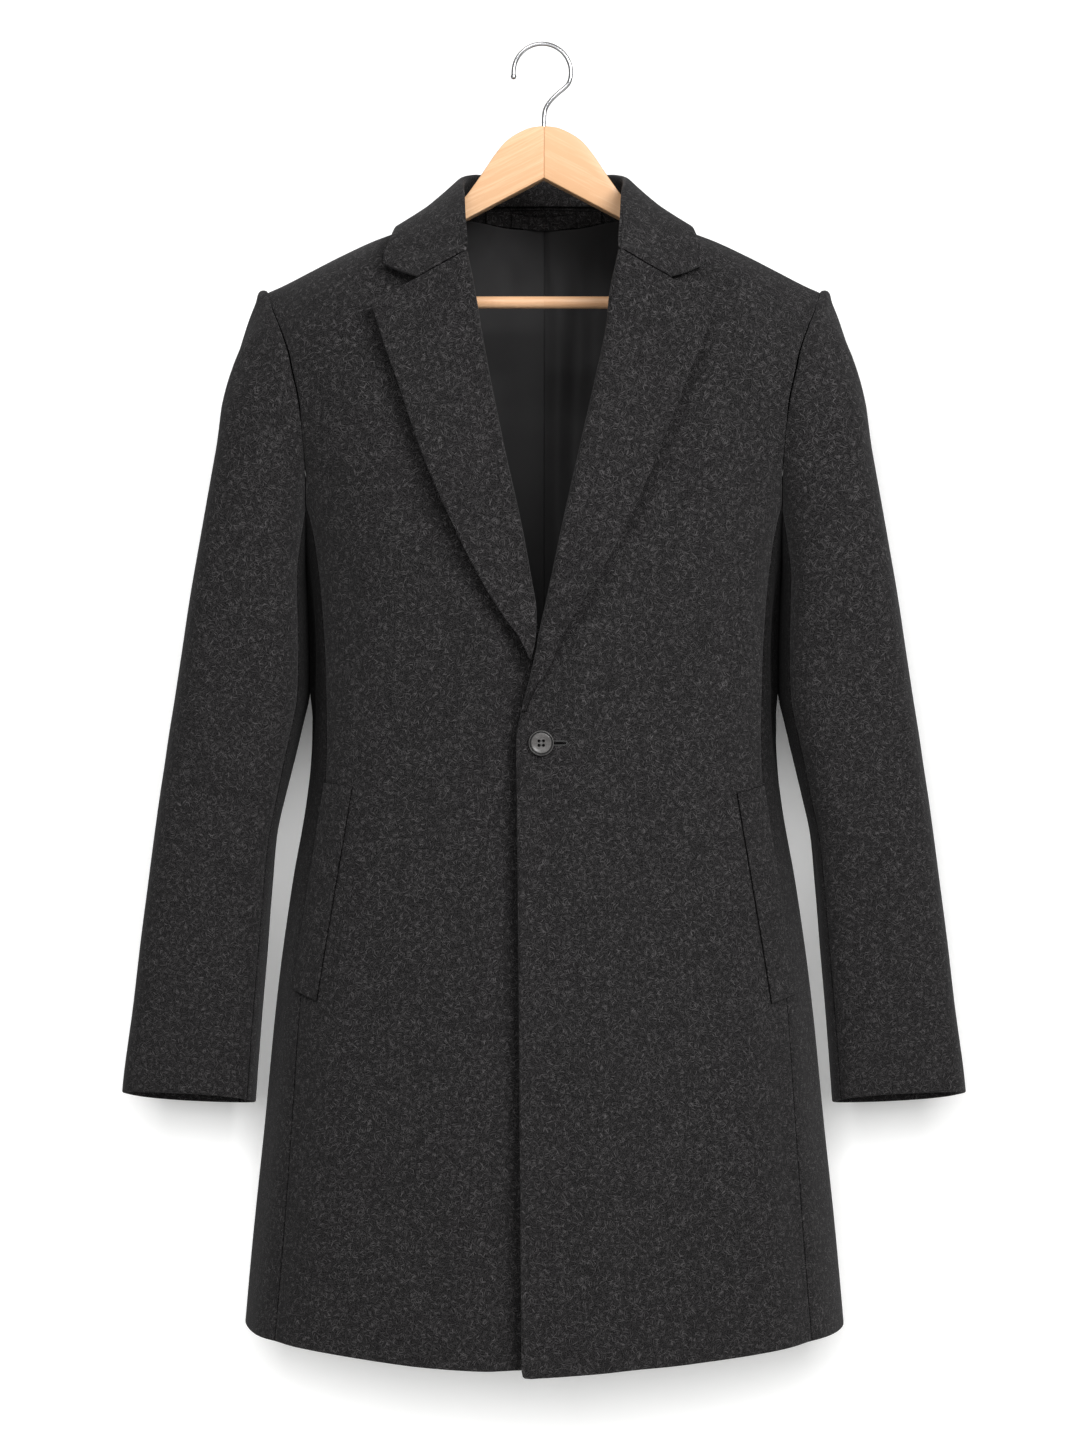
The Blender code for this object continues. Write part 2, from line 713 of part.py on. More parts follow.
# ------------------------------------------------------------- small pieces
def welt(side):
    corners = np.array(WELT_LEFT if side > 0 else WELT_RIGHT)

    def place(u, v):
        top = corners[0] + (corners[1] - corners[0]) * u[:, None]
        bottom = corners[3] + (corners[2] - corners[3]) * u[:, None]
        spot = top + (bottom - top) * v[:, None]
        turn, drop = front_spot(spot[:, 0], spot[:, 1])
        return moved_out(turn, drop, WOOL + 0.0009 + 0 * u)
    return wall("pocket_welt_" + side_word(side), place, 3, 12, WOOL, side)


def back_spot(x, z):
    turn = 180 - turn_at(x, z)
    return turn, drop_at(turn, z)


def neck_facing():
    def place(u, v):
        x = (u - 0.5) * 0.104
        top = np.interp(np.abs(x), [0, 0.04, 0.06], [-0.1223, -0.1243, -0.1270])
        under = np.interp(np.abs(x), [0, 0.03, 0.052], [-0.1385, -0.1374, -0.1342])
        turn, drop = back_spot(x, top + (under - top) * v)
        return moved_out(turn, drop, -WOOL - 0.0015 + 0 * u)
    return wall("neck_facing", place, 16, 3, 0.0014)


def hanging_loop():
    def place(u, v):
        x = (u - 0.5) * 0.0586
        z = -0.1255 - 0.0115 * v - 0.0012 * np.cos(math.pi * (u - 0.5))
        turn, drop = back_spot(x, z)
        bow = 0.0045 * np.cos(math.pi * (u - 0.5)) ** 2
        return moved_out(turn, drop, -WOOL - 0.0014 - 0.0020 - bow)
    return wall("hanging_loop", place, 12, 3, 0.0016)


def lining(side):
    inside = -WOOL - 0.0024

    def neck(turn):
        x = np.abs(body(turn, 0.03)[..., 0])
        z = np.interp(x, [0, 0.03, 0.052, 0.064, 0.080, 0.100],
                      [-0.1404, -0.1393, -0.1361, -0.1345, -0.1360, -0.1490])
        return np.maximum(drop_at(turn, z), 0.0035)

    def low(turn):
        return drop_at(turn, np.full(np.shape(turn), BACK_HEM_HEIGHT + 0.022))

    def side_edge(z):
        return back_side_edge(z) + 0.9
    spot = panel(lambda z: np.full(np.shape(z), 180 - HAIR), side_edge, low, neck,
                 columns=round_the_neck)
    wall("lining_back_" + side_word(side), lambda u, v: moved_out(*spot(u, v), inside + 0 * u),
         7, 20, SATIN, side, "satin")

    def high(turn):
        return underarm_drop(turn) + 0.003
    side_panel = panel(lambda z: read(SIDE_SEAMS, z, "front") + 1.0,
                       lambda z: 180 - read(SIDE_SEAMS, z, "back") - HAIR - 0.25, low, high, short_rows)
    wall("lining_side_" + side_word(side), lambda u, v: moved_out(*side_panel(u, v), inside + 0 * u),
         5, 14, SATIN, side, "satin")


def button():
    """A turned disc with a raised rim and four sewing holes."""
    profile = ((0.0, 0.0), (0.0072, 0.0), (0.0094, 0.0010), (0.0101, 0.0022), (0.0096, 0.0033),
               (0.0088, 0.0036), (0.0083, 0.0029), (0.0074, 0.0026), (0.0, 0.0024))
    bm = bmesh.new()
    verts = [bm.verts.new((radius, 0, height)) for radius, height in profile]
    for first, second in zip(verts[:-1], verts[1:]):
        bm.edges.new((first, second))
    bmesh.ops.spin(bm, geom=bm.verts[:] + bm.edges[:], cent=(0, 0, 0), axis=(0, 0, 1),
                   angle=2 * math.pi, steps=32)
    bmesh.ops.remove_doubles(bm, verts=bm.verts[:], dist=0.00005)
    disc = finish_mesh(bm, "button", "horn")
    for x in (-0.0016, 0.0016):
        for y in (-0.0016, 0.0016):
            hole = drill(x, y)
            cut = disc.modifiers.new("hole", "BOOLEAN")
            cut.operation = "DIFFERENCE"
            cut.solver = "EXACT"
            cut.object = hole
    turn, drop = front_spot(np.array(-0.0022), np.array(-0.5782))
    spot, normal = moved_out(turn, drop, OVERLAP_LIFT + SEAM_GAP + 0.0002)
    facing = Vector(normal).to_track_quat("Z", "Y").to_matrix().to_4x4()
    facing.translation = Vector(spot)
    place_by(disc, facing)
    for cutter in bpy.data.collections["cutters"].objects:
        place_by(cutter, facing)
    return disc


def place_by(part, matrix):
    for vert in part.data.vertices:
        vert.co = matrix @ vert.co


def drill(x, y):
    bm = bmesh.new()
    bmesh.ops.create_cone(bm, cap_ends=True, segments=12, radius1=0.00085, radius2=0.00085, depth=0.02)
    bmesh.ops.translate(bm, verts=bm.verts, vec=(x, y, 0))
    bmesh.ops.recalc_face_normals(bm, faces=bm.faces)
    mesh = bpy.data.meshes.new("drill")
    bm.to_mesh(mesh)
    bm.free()
    cutter = bpy.data.objects.new("drill", mesh)
    cutter.hide_render = True
    cutter.display_type = "WIRE"
    bpy.data.collections["cutters"].objects.link(cutter)
    return cutter


# ------------------------------------------------------------------- hanger
def hanger_outline():
    """The wooden arms from the front: along the top, then back underneath."""
    top = list(zip(HANGER_TOP["across"], HANGER_TOP["height"]))
    end = [(HANGER_END - 0.0012, -0.2015), (HANGER_END, -0.2060), (HANGER_END, -0.2160),
           (HANGER_END - 0.0030, -0.2215), (HANGER_END - 0.0100, -0.2230),
           (BAR_END + SEAM_GAP, -0.2215)]
    under = []
    for x in (BAR_END + SEAM_GAP, 0.148, 0.110, 0.070, 0.035):
        under.append((x, HANGER_UNDER_MIDDLE - HANGER_UNDER_SLOPE * x))
    half = top[1:] + end + under
    other = [(-x, z) for x, z in reversed(half)]
    return [top[0]] + half + [(0.0, HANGER_UNDER_MIDDLE)] + other


def hanger_arms():
    bm = bmesh.new()
    verts = [bm.verts.new((x, -ARM_DEPTH, z)) for x, z in hanger_outline()]
    profile = bm.faces.new(verts)
    made = bmesh.ops.extrude_face_region(bm, geom=[profile])
    moved = [item for item in made["geom"] if isinstance(item, bmesh.types.BMVert)]
    bmesh.ops.translate(bm, verts=moved, vec=(0, 2 * ARM_DEPTH, 0))
    bmesh.ops.recalc_face_normals(bm, faces=bm.faces)
    rims = [edge for edge in bm.edges if abs(edge.verts[0].co.y - edge.verts[1].co.y) < 1e-6]
    bmesh.ops.bevel(bm, geom=rims, offset=0.0022, segments=2, profile=0.5, affect="EDGES",
                    clamp_overlap=True)
    bmesh.ops.triangulate(bm, faces=bm.faces)
    return finish_mesh(bm, "hanger_arms", "beech")


def hanger_bar():
    bm = bmesh.new()
    bmesh.ops.create_cone(bm, cap_ends=True, segments=24, radius1=BAR_RADIUS, radius2=BAR_RADIUS,
                          depth=2 * BAR_END)
    for vert in bm.verts:
        vert.co = Vector((vert.co.z, vert.co.y, BAR_HEIGHT - vert.co.x))
    return finish_mesh(bm, "hanger_bar", "beech")


def hook_line():
    """Centre line of the hook, from the wood up and round to its free end."""
    centre = Vector((-0.0015, 0, -HOOK_ARCH + HOOK_WIRE))
    line = [Vector((0.0, 0, -0.0676)), Vector((0.0, 0, -0.0600)), Vector((0.0003, 0, -0.0545))]
    line += [Vector((0.0032, 0, -0.0478)), Vector((0.0112, 0, -0.0396))]
    for degrees in range(-28, 200, 12):
        angle = math.radians(degrees)
        line.append(centre + Vector((HOOK_ARCH * math.cos(angle), 0, HOOK_ARCH * math.sin(angle))))
    return line


def hanger_hook():
    curve = bpy.data.curves.new("hook_line", "CURVE")
    curve.dimensions = "3D"
    curve.bevel_depth = HOOK_WIRE
    curve.bevel_resolution = 2
    curve.use_fill_caps = True
    points = hook_line()
    spline = curve.splines.new("POLY")
    spline.points.add(len(points) - 1)
    for point, spot in zip(spline.points, points):
        point.co = (*spot, 1)
    sizes = {-4: 1.0, -3: 1.12, -2: 1.35, -1: 0.75}
    for index, size in sizes.items():
        spline.points[index].radius = size
    helper = bpy.data.objects.new("hook_line", curve)
    bpy.context.scene.collection.objects.link(helper)
    mesh = bpy.data.meshes.new_from_object(helper)
    bpy.data.objects.remove(helper)
    bm = bmesh.new()
    bm.from_mesh(mesh)
    bmesh.ops.remove_doubles(bm, verts=bm.verts[:], dist=0.00002)
    bmesh.ops.triangulate(bm, faces=bm.faces)
    return finish_mesh(bm, "hanger_hook", "steel")


# -------------------------------------------------------------------- build
def start():
    for item in list(bpy.context.scene.objects):
        bpy.data.objects.remove(item)
    for name in ("wool_overcoat", "cutters"):
        group = bpy.data.collections.new(name)
        bpy.context.scene.collection.children.link(group)
    bpy.data.collections["cutters"].hide_render = True
    bpy.context.scene.unit_settings.system = "METRIC"


start()
for hand in (1, -1):
    front(hand)
    back(hand)
    side_body(hand)
    sleeves(hand)
    lapel(hand)
    welt(hand)
    lining(hand)
collar()
neck_facing()
hanging_loop()
button()
hanger_arms()
hanger_bar()
hanger_hook()
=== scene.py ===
# %% [markdown]
# # A wool overcoat on a wooden hanger
#
# The coat hangs from the hook of its hanger. Its cloth could be simulated, but a pressed and canvassed coat
# hangs almost flat and keeps the shape its tailor gave it. So every panel here is a thin shell laid on the
# same body and sleeve shapes as the solids, with soft creases placed one by one, round edges, and its own
# woven finish. Metres, +Z up; the front faces -Y and the wearer's left is at +X.

# %% Tools and the frame
import math
import bmesh
import bpy
import numpy as np
from mathutils import Matrix, Vector


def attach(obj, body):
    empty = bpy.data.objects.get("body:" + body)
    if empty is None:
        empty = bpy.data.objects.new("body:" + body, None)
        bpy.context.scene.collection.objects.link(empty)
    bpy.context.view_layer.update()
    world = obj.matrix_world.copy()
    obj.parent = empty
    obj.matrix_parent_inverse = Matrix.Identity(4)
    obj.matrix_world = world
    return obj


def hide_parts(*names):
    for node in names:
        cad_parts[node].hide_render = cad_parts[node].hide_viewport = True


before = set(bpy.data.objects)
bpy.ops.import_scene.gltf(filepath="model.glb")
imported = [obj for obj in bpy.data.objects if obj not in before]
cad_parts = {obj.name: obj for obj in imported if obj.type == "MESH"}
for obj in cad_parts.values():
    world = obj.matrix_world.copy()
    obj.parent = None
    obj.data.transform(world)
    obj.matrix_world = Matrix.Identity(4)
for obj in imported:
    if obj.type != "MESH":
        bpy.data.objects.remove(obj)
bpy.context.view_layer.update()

# %% [markdown]
# ## The camera
#
# The camera stands level at the height of the waist, far enough away that the
# shoulders and the hem look as wide as they are.

# %% Camera
CAMERA_PLACE = (-0.0008, -2.6, -0.563)
PICTURE_HEIGHT = 1.20184         # metres seen at the hanger's plane
SENSOR_WIDTH = 36.0


def make_camera():
    """A level camera that frames the picture's height at the hanger's plane."""
    data = bpy.data.cameras.new("camera")
    data.sensor_width = SENSOR_WIDTH
    data.lens = SENSOR_WIDTH * -CAMERA_PLACE[1] / PICTURE_HEIGHT
    camera = bpy.data.objects.new("camera", data)
    camera.location = CAMERA_PLACE
    camera.rotation_euler = (math.radians(90), 0, 0)
    bpy.context.scene.collection.objects.link(camera)
    bpy.context.scene.camera = camera
    return data.lens


print("lens", round(make_camera(), 1), "mm")

# %% [markdown]
# ## Sizes of the coat
#
# A pattern cutter works from a block: a few measured lines that every panel
# shares. Each short table below is one such line. Reading a table with an even
# curve gives a smooth edge from a handful of points, and neighbours that read
# the same table meet exactly.

# %% Measured lines
WOOL = 0.0028            # thickness of the coat cloth
SATIN = 0.0010
OVERLAP_LIFT = 0.0038    # the over front rides this far out at the middle
SHOULDER_ROUND = 0.110
FULLNESS = 0.16          # 0 is a plain ellipse, more is a squarer section
BACK_HEM_HEIGHT = -1.055
SLEEVE_FULLNESS = 0.30
SLEEVE_FRONT_SEAM = 146.0
SLEEVE_BACK_SEAM = 232.0
CUFF_HEIGHT = -0.8717
CUFF_SLANT = 0.0072
CUFF_RISE = 0.0037
HAIR = 0.012             # degrees trimmed at an upright seam
SIDES = {1: "left", -1: "right"}


def table(columns, rows):
    """Turn a short table into named columns."""
    names = columns.split()
    return {name: np.array(values, float) for name, values in zip(names, zip(*rows))}


BODY = table("height half front back", [
    (-1.085, 0.2495, 0.124, 0.108), (-0.990, 0.2400, 0.121, 0.104),
    (-0.891, 0.2290, 0.117, 0.100), (-0.791, 0.2187, 0.112, 0.094),
    (-0.692, 0.2058, 0.106, 0.083), (-0.625, 0.1959, 0.103, 0.076),
    (-0.575, 0.1924, 0.103, 0.073), (-0.520, 0.1918, 0.105, 0.075),
    (-0.460, 0.1935, 0.108, 0.080), (-0.418, 0.1970, 0.110, 0.084),
    (-0.370, 0.2080, 0.110, 0.088), (-0.320, 0.2260, 0.108, 0.091),
    (-0.270, 0.2370, 0.106, 0.092), (-0.200, 0.2400, 0.104, 0.091),
    (-0.080, 0.2400, 0.104, 0.090),
])
SHOULDER = table("across height", [
    (0.000, -0.0780), (0.040, -0.0940), (0.060, -0.1100), (0.080, -0.1312),
    (0.105, -0.1492), (0.123, -0.1566), (0.141, -0.1633), (0.169, -0.1762),
    (0.194, -0.1888), (0.217, -0.2003), (0.231, -0.2063), (0.260, -0.2215),
])
# Degrees round the body from the centre line, front and back.
ARMHOLE = table("height front back", [
    (-0.4180, 90.0, 90.0), (-0.4030, 76.0, 78.0), (-0.3750, 66.5, 70.0),
    (-0.3460, 59.5, 65.5), (-0.3200, 55.8, 63.0), (-0.2950, 54.3, 62.2),
    (-0.2680, 55.5, 62.6), (-0.2400, 60.0, 65.0), (-0.2058, 69.9, 70.1),
])
SIDE_SEAMS = table("height front back", [
    (-1.080, 57.0, 62.0), (-0.980, 57.6, 62.0), (-0.900, 58.7, 62.5),
    (-0.790, 60.3, 63.0), (-0.610, 62.1, 64.0), (-0.500, 64.5, 67.0),
    (-0.420, 67.5, 70.0), (-0.375, 69.5, 72.0),
])
# Where a side seam ends in the armhole: its height, and the widest it gets in degrees.
ARM_CORNER = {"front": (-0.3850, 71.5), "back": (-0.3830, 72.5)}
HEM = table("across height", [
    (0.000, -1.0762), (0.045, -1.0757), (0.092, -1.0735), (0.148, -1.0682),
    (0.200, -1.0625), (0.217, -1.0608), (0.250, -1.0600),
])
# Front edge, roll line and neck seam: distance from the middle, for the left and the right.
EDGE = {1: table("height across", [
    (-1.080, -0.0176), (-0.624, -0.0214), (-0.576, -0.0220), (-0.552, -0.0178),
    (-0.512, -0.0087), (-0.4465, 0.0055), (-0.3895, 0.0174), (-0.337, 0.0293),
    (-0.272, 0.0437), (-0.186, 0.0581), (-0.175, 0.0615), (-0.167, 0.0720),
    (-0.151, 0.0796), (-0.138, 0.0808), (-0.133, 0.0825),
]), -1: table("height across", [
    (-1.080, -0.0190), (-0.624, -0.0210), (-0.560, -0.0200), (-0.520, -0.0090),
    (-0.480, 0.0052), (-0.437, 0.0111), (-0.380, 0.0230), (-0.327, 0.0349),
    (-0.265, 0.0469), (-0.186, 0.0590), (-0.175, 0.0615), (-0.167, 0.0720),
    (-0.151, 0.0796), (-0.138, 0.0808), (-0.133, 0.0825),
])}
LAPEL = {1: table("height roll outer", [
    (-0.5530, -0.0185, -0.0165), (-0.5380, -0.0146, -0.0112), (-0.5217, -0.0109, 0.0015),
    (-0.4924, -0.0045, 0.0142), (-0.4465, 0.0055, 0.0412), (-0.4077, 0.0136, 0.0625),
    (-0.3504, 0.0263, 0.0880), (-0.2928, 0.0391, 0.1105), (-0.2400, 0.0491, 0.1310),
    (-0.2284, 0.0500, 0.1345), (-0.1860, 0.0580, 0.1345), (-0.1690, 0.0605, 0.1345),
]), -1: table("height roll outer", [
    (-0.5110, 0.0098, 0.0112), (-0.4950, 0.0064, 0.0190), (-0.4773, 0.0056, 0.0317),
    (-0.4456, 0.0102, 0.0508), (-0.4075, 0.0172, 0.0698), (-0.3501, 0.0298, 0.0948),
    (-0.2924, 0.0412, 0.1146), (-0.2447, 0.0496, 0.1308), (-0.2279, 0.0522, 0.1352),
    (-0.1860, 0.0604, 0.1352), (-0.1690, 0.0634, 0.1352),
])}
GORGE = table("across height", [
    (0.058, -0.1805), (0.102, -0.2075), (0.136, -0.2290),
])
COLLAR = table("way sx sy sz fx fy fz ex ey ez", [
    (0.00, 0.000, 0.0735, -0.1217, 0.000, 0.0750, -0.0950, 0.000, 0.0955, -0.1550),
    (0.16, 0.040, 0.0640, -0.1237, 0.036, 0.0640, -0.0960, 0.058, 0.0900, -0.1570),
    (0.30, 0.063, 0.0440, -0.1262, 0.054, 0.0400, -0.0990, 0.098, 0.0640, -0.1590),
    (0.42, 0.0797, 0.0060, -0.1288, 0.0640, 0.0080, -0.1070, 0.1200, 0.0120, -0.1512),
    (0.54, 0.0782, -0.0385, -0.1350, 0.0655, -0.0310, -0.1190, 0.1220, -0.0320, -0.1550),
    (0.66, 0.0722, -0.0685, -0.1530, 0.0642, -0.0630, -0.1400, 0.1250, -0.0550, -0.1665),
    (0.77, 0.0640, -0.0945, -0.1800, 0.0612, -0.0950, -0.1750, 0.1280, -0.0645, -0.1765),
    (0.90, 0.0840, -0.0990, -0.1918, 0.0840, -0.0990, -0.1918, 0.1300, -0.0705, -0.1850),
    (1.00, 0.1012, -0.0978, -0.2025, 0.1012, -0.0978, -0.2025, 0.1300, -0.0745, -0.1915),
])
SLEEVE = table("height inner outer depth middle", [
    (-0.890, 0.2395, 0.3500, 0.036, -0.010), (-0.859, 0.2374, 0.3474, 0.037, -0.010),
    (-0.792, 0.2324, 0.3385, 0.042, -0.009), (-0.742, 0.2282, 0.3328, 0.046, -0.007),
    (-0.693, 0.2241, 0.3265, 0.050, -0.005), (-0.659, 0.2208, 0.3222, 0.053, -0.003),
    (-0.626, 0.2141, 0.3178, 0.056, -0.001), (-0.593, 0.2074, 0.3128, 0.059, 0.000),
    (-0.576, 0.2035, 0.3104, 0.061, 0.001), (-0.543, 0.1972, 0.3050, 0.064, 0.001),
    (-0.510, 0.1965, 0.2998, 0.066, 0.001), (-0.460, 0.1975, 0.2920, 0.070, 0.001),
    (-0.410, 0.1992, 0.2830, 0.073, 0.001), (-0.377, 0.1992, 0.2770, 0.074, 0.001),
    (-0.344, 0.1992, 0.2710, 0.074, 0.001), (-0.294, 0.1992, 0.2615, 0.073, 0.001),
])
WELT = {                 # corners of each pocket welt, across and height
    1: ((0.1548, -0.6188), (0.1778, -0.6125), (0.2046, -0.7825), (0.1825, -0.7885)),
    -1: ((0.1535, -0.6132), (0.1778, -0.6106), (0.2035, -0.7785), (0.1818, -0.7865)),
}


# %% Reading a line
def smooth(at, xs, ys):
    """Read a table with an even curve that never overshoots its rows."""
    at = np.asarray(at, float)
    step = np.diff(xs)
    rise = np.diff(ys) / step
    slope = np.empty_like(ys)
    slope[0], slope[-1] = rise[0], rise[-1]
    before, after = rise[:-1], rise[1:]
    same = before * after > 0
    near, far = 2 * step[1:] + step[:-1], step[1:] + 2 * step[:-1]
    mean = (near + far) / (near / np.where(same, before, 1.0) + far / np.where(same, after, 1.0))
    slope[1:-1] = np.where(same, mean, 0.0)
    cell = np.clip(np.searchsorted(xs, at) - 1, 0, len(step) - 1)
    part = np.clip((at - xs[cell]) / step[cell], 0, 1)
    over = at - (xs[cell] + part * step[cell])
    value = ys[cell] * (1 + 2 * part) * (1 - part) ** 2
    value = value + ys[cell + 1] * part ** 2 * (3 - 2 * part)
    value = value + step[cell] * slope[cell] * part * (1 - part) ** 2
    value = value - step[cell] * slope[cell + 1] * part ** 2 * (1 - part)
    return value + over * np.where(over < 0, slope[0], slope[-1])


def read(rows, at, column):
    """Read one column of a table by its first column."""
    return smooth(at, rows[next(iter(rows))], rows[column])


def ease(start, end, value):
    """0 before start, 1 after end, and an even curve between."""
    part = np.clip((value - start) / (end - start), 0, 1)
    return part * part * (3 - 2 * part)


def unit(vectors):
    return vectors / np.maximum(np.linalg.norm(vectors, axis=-1, keepdims=True), 1e-12)


print("the waist is", round(2 * float(read(BODY, -0.55, "half")), 3), "m wide")

# %% [markdown]
# ## The shape of the body
#
# The coat's body is one tube, a little squarer than an ellipse, that closes
# over the shoulder line. A place on it is given by the degrees round from the
# centre front and by how far down the cloth it lies from the shoulder, much as
# a tailor measures with a tape. Points found in this way can be moved straight
# out of the cloth, which is how pockets, lapels and creases are laid on it.


# %% Body
def ring(turn, fullness):
    """A slightly squared circle: how far across and how far forward."""
    s, c = np.sin(np.radians(turn)), np.cos(np.radians(turn))
    return s * (1 + fullness * c * c), c * (1 + fullness * s * s)


def fall(drop):
    """Height lost after going this far down the cloth from the shoulder line."""
    bend = SHOULDER_ROUND
    rounded = bend * (1 - np.cos(np.clip(drop / bend, 0, math.pi / 2)))
    return rounded + np.maximum(drop - bend * math.pi / 2, 0)


def drop_for(fallen):
    """The opposite of fall()."""
    bend = SHOULDER_ROUND
    return bend * np.arccos(np.clip(1 - fallen / bend, 0, 1)) + np.maximum(fallen - bend, 0)


def body(turn, drop):
    """A point of the body, at +X: degrees from the centre front, and drop."""
    turn, drop = np.broadcast_arrays(np.asarray(turn, float), np.asarray(drop, float))
    across, forward = ring(turn, FULLNESS)
    z = np.full(turn.shape, -0.4)
    for _ in range(9):
        x = read(BODY, z, "half") * across
        z = read(SHOULDER, np.abs(x), "height") - fall(drop)
    x = read(BODY, z, "half") * across
    depth = np.where(forward > 0, read(BODY, z, "front"), read(BODY, z, "back"))
    rounding = np.sin(np.clip(drop / SHOULDER_ROUND, 0, math.pi / 2))
    return np.stack([x, -depth * forward * rounding, z], -1)


def drop_at(turn, z):
    across, _ = ring(turn, FULLNESS)
    x = read(BODY, z, "half") * across
    return drop_for(np.maximum(read(SHOULDER, np.abs(x), "height") - z, 0))


def turn_at(x, z):
    """Degrees from the centre line for a place seen straight on."""
    goal = np.asarray(x, float) / read(BODY, z, "half")
    s = np.clip(goal, -1, 1)
    for _ in range(25):
        s = np.clip(goal / (1 + FULLNESS * (1 - s * s)), -1, 1)
    return np.degrees(np.arcsin(s))


def body_out(turn, drop):
    """Outward direction of the body's face."""
    low = np.maximum(drop - 0.001, 0)
    along = body(turn + 0.3, drop) - body(turn - 0.3, drop)
    down = body(turn, low + 0.002) - body(turn, low)
    return unit(np.cross(down, along))


def overlap_lift(x):
    """How far the over front rides above the body shape."""
    return OVERLAP_LIFT * (1 - ease(0.030, 0.085, x))


print("the chest is", round(float(body(180, 0.2)[1] - body(0, 0.2)[1]), 3), "m deep, front to back")

# %% [markdown]
# ## Creases
#
# Pressed wool shows few folds: a hollow beside each lapel where the chest
# canvas ends, a dip beside the edge that laps over, a little fullness behind,
# and long soft waves in the skirt. Each is a row of a list: where it starts and
# ends in degrees and height, how wide it is and how deep. A trough with an
# even curve across it and ends that fade looks like cloth, while one from a
# noise pattern looks like dented metal.

# %% Soft troughs and ridges
DEGREE = 0.0037          # metres of cloth to one degree round the body
SKIRT_WAVES = 0.0009     # height of the long waves in the skirt
PRESSED = 0.0024         # how far a sleeve and the side it rests against give way
SIDE_TURN, SIDE_WIDTH = 91, 16       # where on the body that is, in degrees

BODY_CREASES = [         # turn, height, turn, height, width, depth
    (27.0, -0.330, 17.0, -0.560, 0.016, -0.0026),
    (38.0, -0.300, 36.0, -0.500, 0.030, 0.0016),
    (50.0, -0.400, 42.0, -0.560, 0.016, -0.0014),
    (22.0, -0.700, 26.0, -1.120, 0.034, -0.0014),
    (40.0, -0.640, 46.0, -1.120, 0.030, 0.0018),
    (53.0, -0.780, 55.0, -1.120, 0.018, -0.0016),
    (10.0, -0.585, 24.0, -0.560, 0.007, -0.0007),
    (10.0, -0.592, 22.0, -0.618, 0.007, -0.0006),
    (75.0, -0.430, 82.0, -0.620, 0.016, -0.0030),
    (92.0, -0.600, 90.0, -0.740, 0.014, -0.0024),
    (104.0, -0.430, 97.0, -0.600, 0.014, 0.0024),
    (84.0, -0.600, 84.0, -1.080, 0.026, 0.0022),
    (122.0, -0.330, 128.0, -0.520, 0.018, -0.0030),
    (136.0, -0.300, 141.0, -0.470, 0.026, 0.0026),
    (150.0, -0.420, 165.0, -0.590, 0.020, -0.0024),
    (128.0, -0.560, 160.0, -0.600, 0.012, -0.0020),
    (130.0, -0.620, 126.0, -1.080, 0.030, -0.0030),
    (150.0, -0.600, 152.0, -1.080, 0.036, 0.0034),
    (167.0, -0.640, 168.0, -1.080, 0.026, -0.0022),
    (140.0, -0.190, 165.0, -0.205, 0.012, -0.0012),
]


def soft_lines(turn, z, lines, metres_a_degree, shift=0.0):
    """Add up the troughs and ridges at each place."""
    total = np.zeros(np.broadcast(turn, z).shape)
    for number, (t0, z0, t1, z1, width, depth) in enumerate(lines):
        ax, az = (turn - t0 - shift) * metres_a_degree, z - z0
        bx, bz = (t1 - t0) * metres_a_degree, z1 - z0
        length = math.hypot(bx, bz)
        along = (ax * bx + az * bz) / length ** 2
        across = (ax * bz - az * bx) / length
        wander = 0.18 * width * np.sin(7.0 * along + 1.7 * number)
        uneven = 1 + 0.25 * np.sin(5.0 * along + 2.3 * number)
        ends = ease(-0.12, 0.30, along) * (1 - ease(0.70, 1.12, along))
        total = total + depth * uneven * ends * np.exp(-((across + wander) / width) ** 2)
    return total


def touch(z):
    """Where the sleeve rests against the body's side, both press flat together."""
    return PRESSED * ease(-0.395, -0.425, z) * (1 - ease(-0.532, -0.560, z))


def body_creases(turn, z, side):
    """Creases of one half of the body; both halves agree at the middle."""
    shift = 0.0 if side > 0 else 2.0
    middle = ease(5.5, 13.0, np.abs(turn)) * ease(0.0, 6.0, 180 - np.abs(turn))
    waves = SKIRT_WAVES * np.sin(np.radians(turn * 9 + 60 * side)) * ease(-0.60, -1.0, z)
    over = soft_lines(turn, z, BODY_CREASES, DEGREE, shift) + waves
    return over * middle + touch(z) * np.exp(-((turn - SIDE_TURN) / SIDE_WIDTH) ** 2)


def on_body(turn, drop, out, side):
    """A point of the creased body, moved out of it, and its outward direction."""
    normal = body_out(turn, drop)
    point = body(turn, drop)
    out = np.asarray(out) + body_creases(turn, point[..., 2], side)
    return point + normal * out[..., None], normal


print(len(BODY_CREASES), "creases on each half of the body")

# %% [markdown]
# ## From a flat panel to cloth with a rounded edge
#
# A panel could be a plane with Solidify and Bevel, but wool folds round its
# edge in a full half circle where it is free, and meets its neighbour with a
# hair-thin groove where it is sewn. So the shell is laid out directly: a grid
# whose outer rows crowd toward the edge while the wall thins to nothing along
# a quarter circle. The radius of that quarter circle is chosen edge by edge.
# Flattened, the same grid gives the UV map in metres of cloth, which the nap
# follows.

# %% Edges of a panel
FREE = WOOL / 2          # rounding of a free edge
SEWN = 0.00110           # rounding beside a seam
DEEPEST_FREE = 0.00130   # an edge rounder than this is free, a sharper one is sewn
EDGE_STEPS = (0, 22.5, 45, 67.5, 90)


def border(radius):
    """Distances from an edge, and the share of the wall's thickness there."""
    angles = np.radians(EDGE_STEPS)
    return radius * (1 - np.cos(angles)), np.sin(angles)


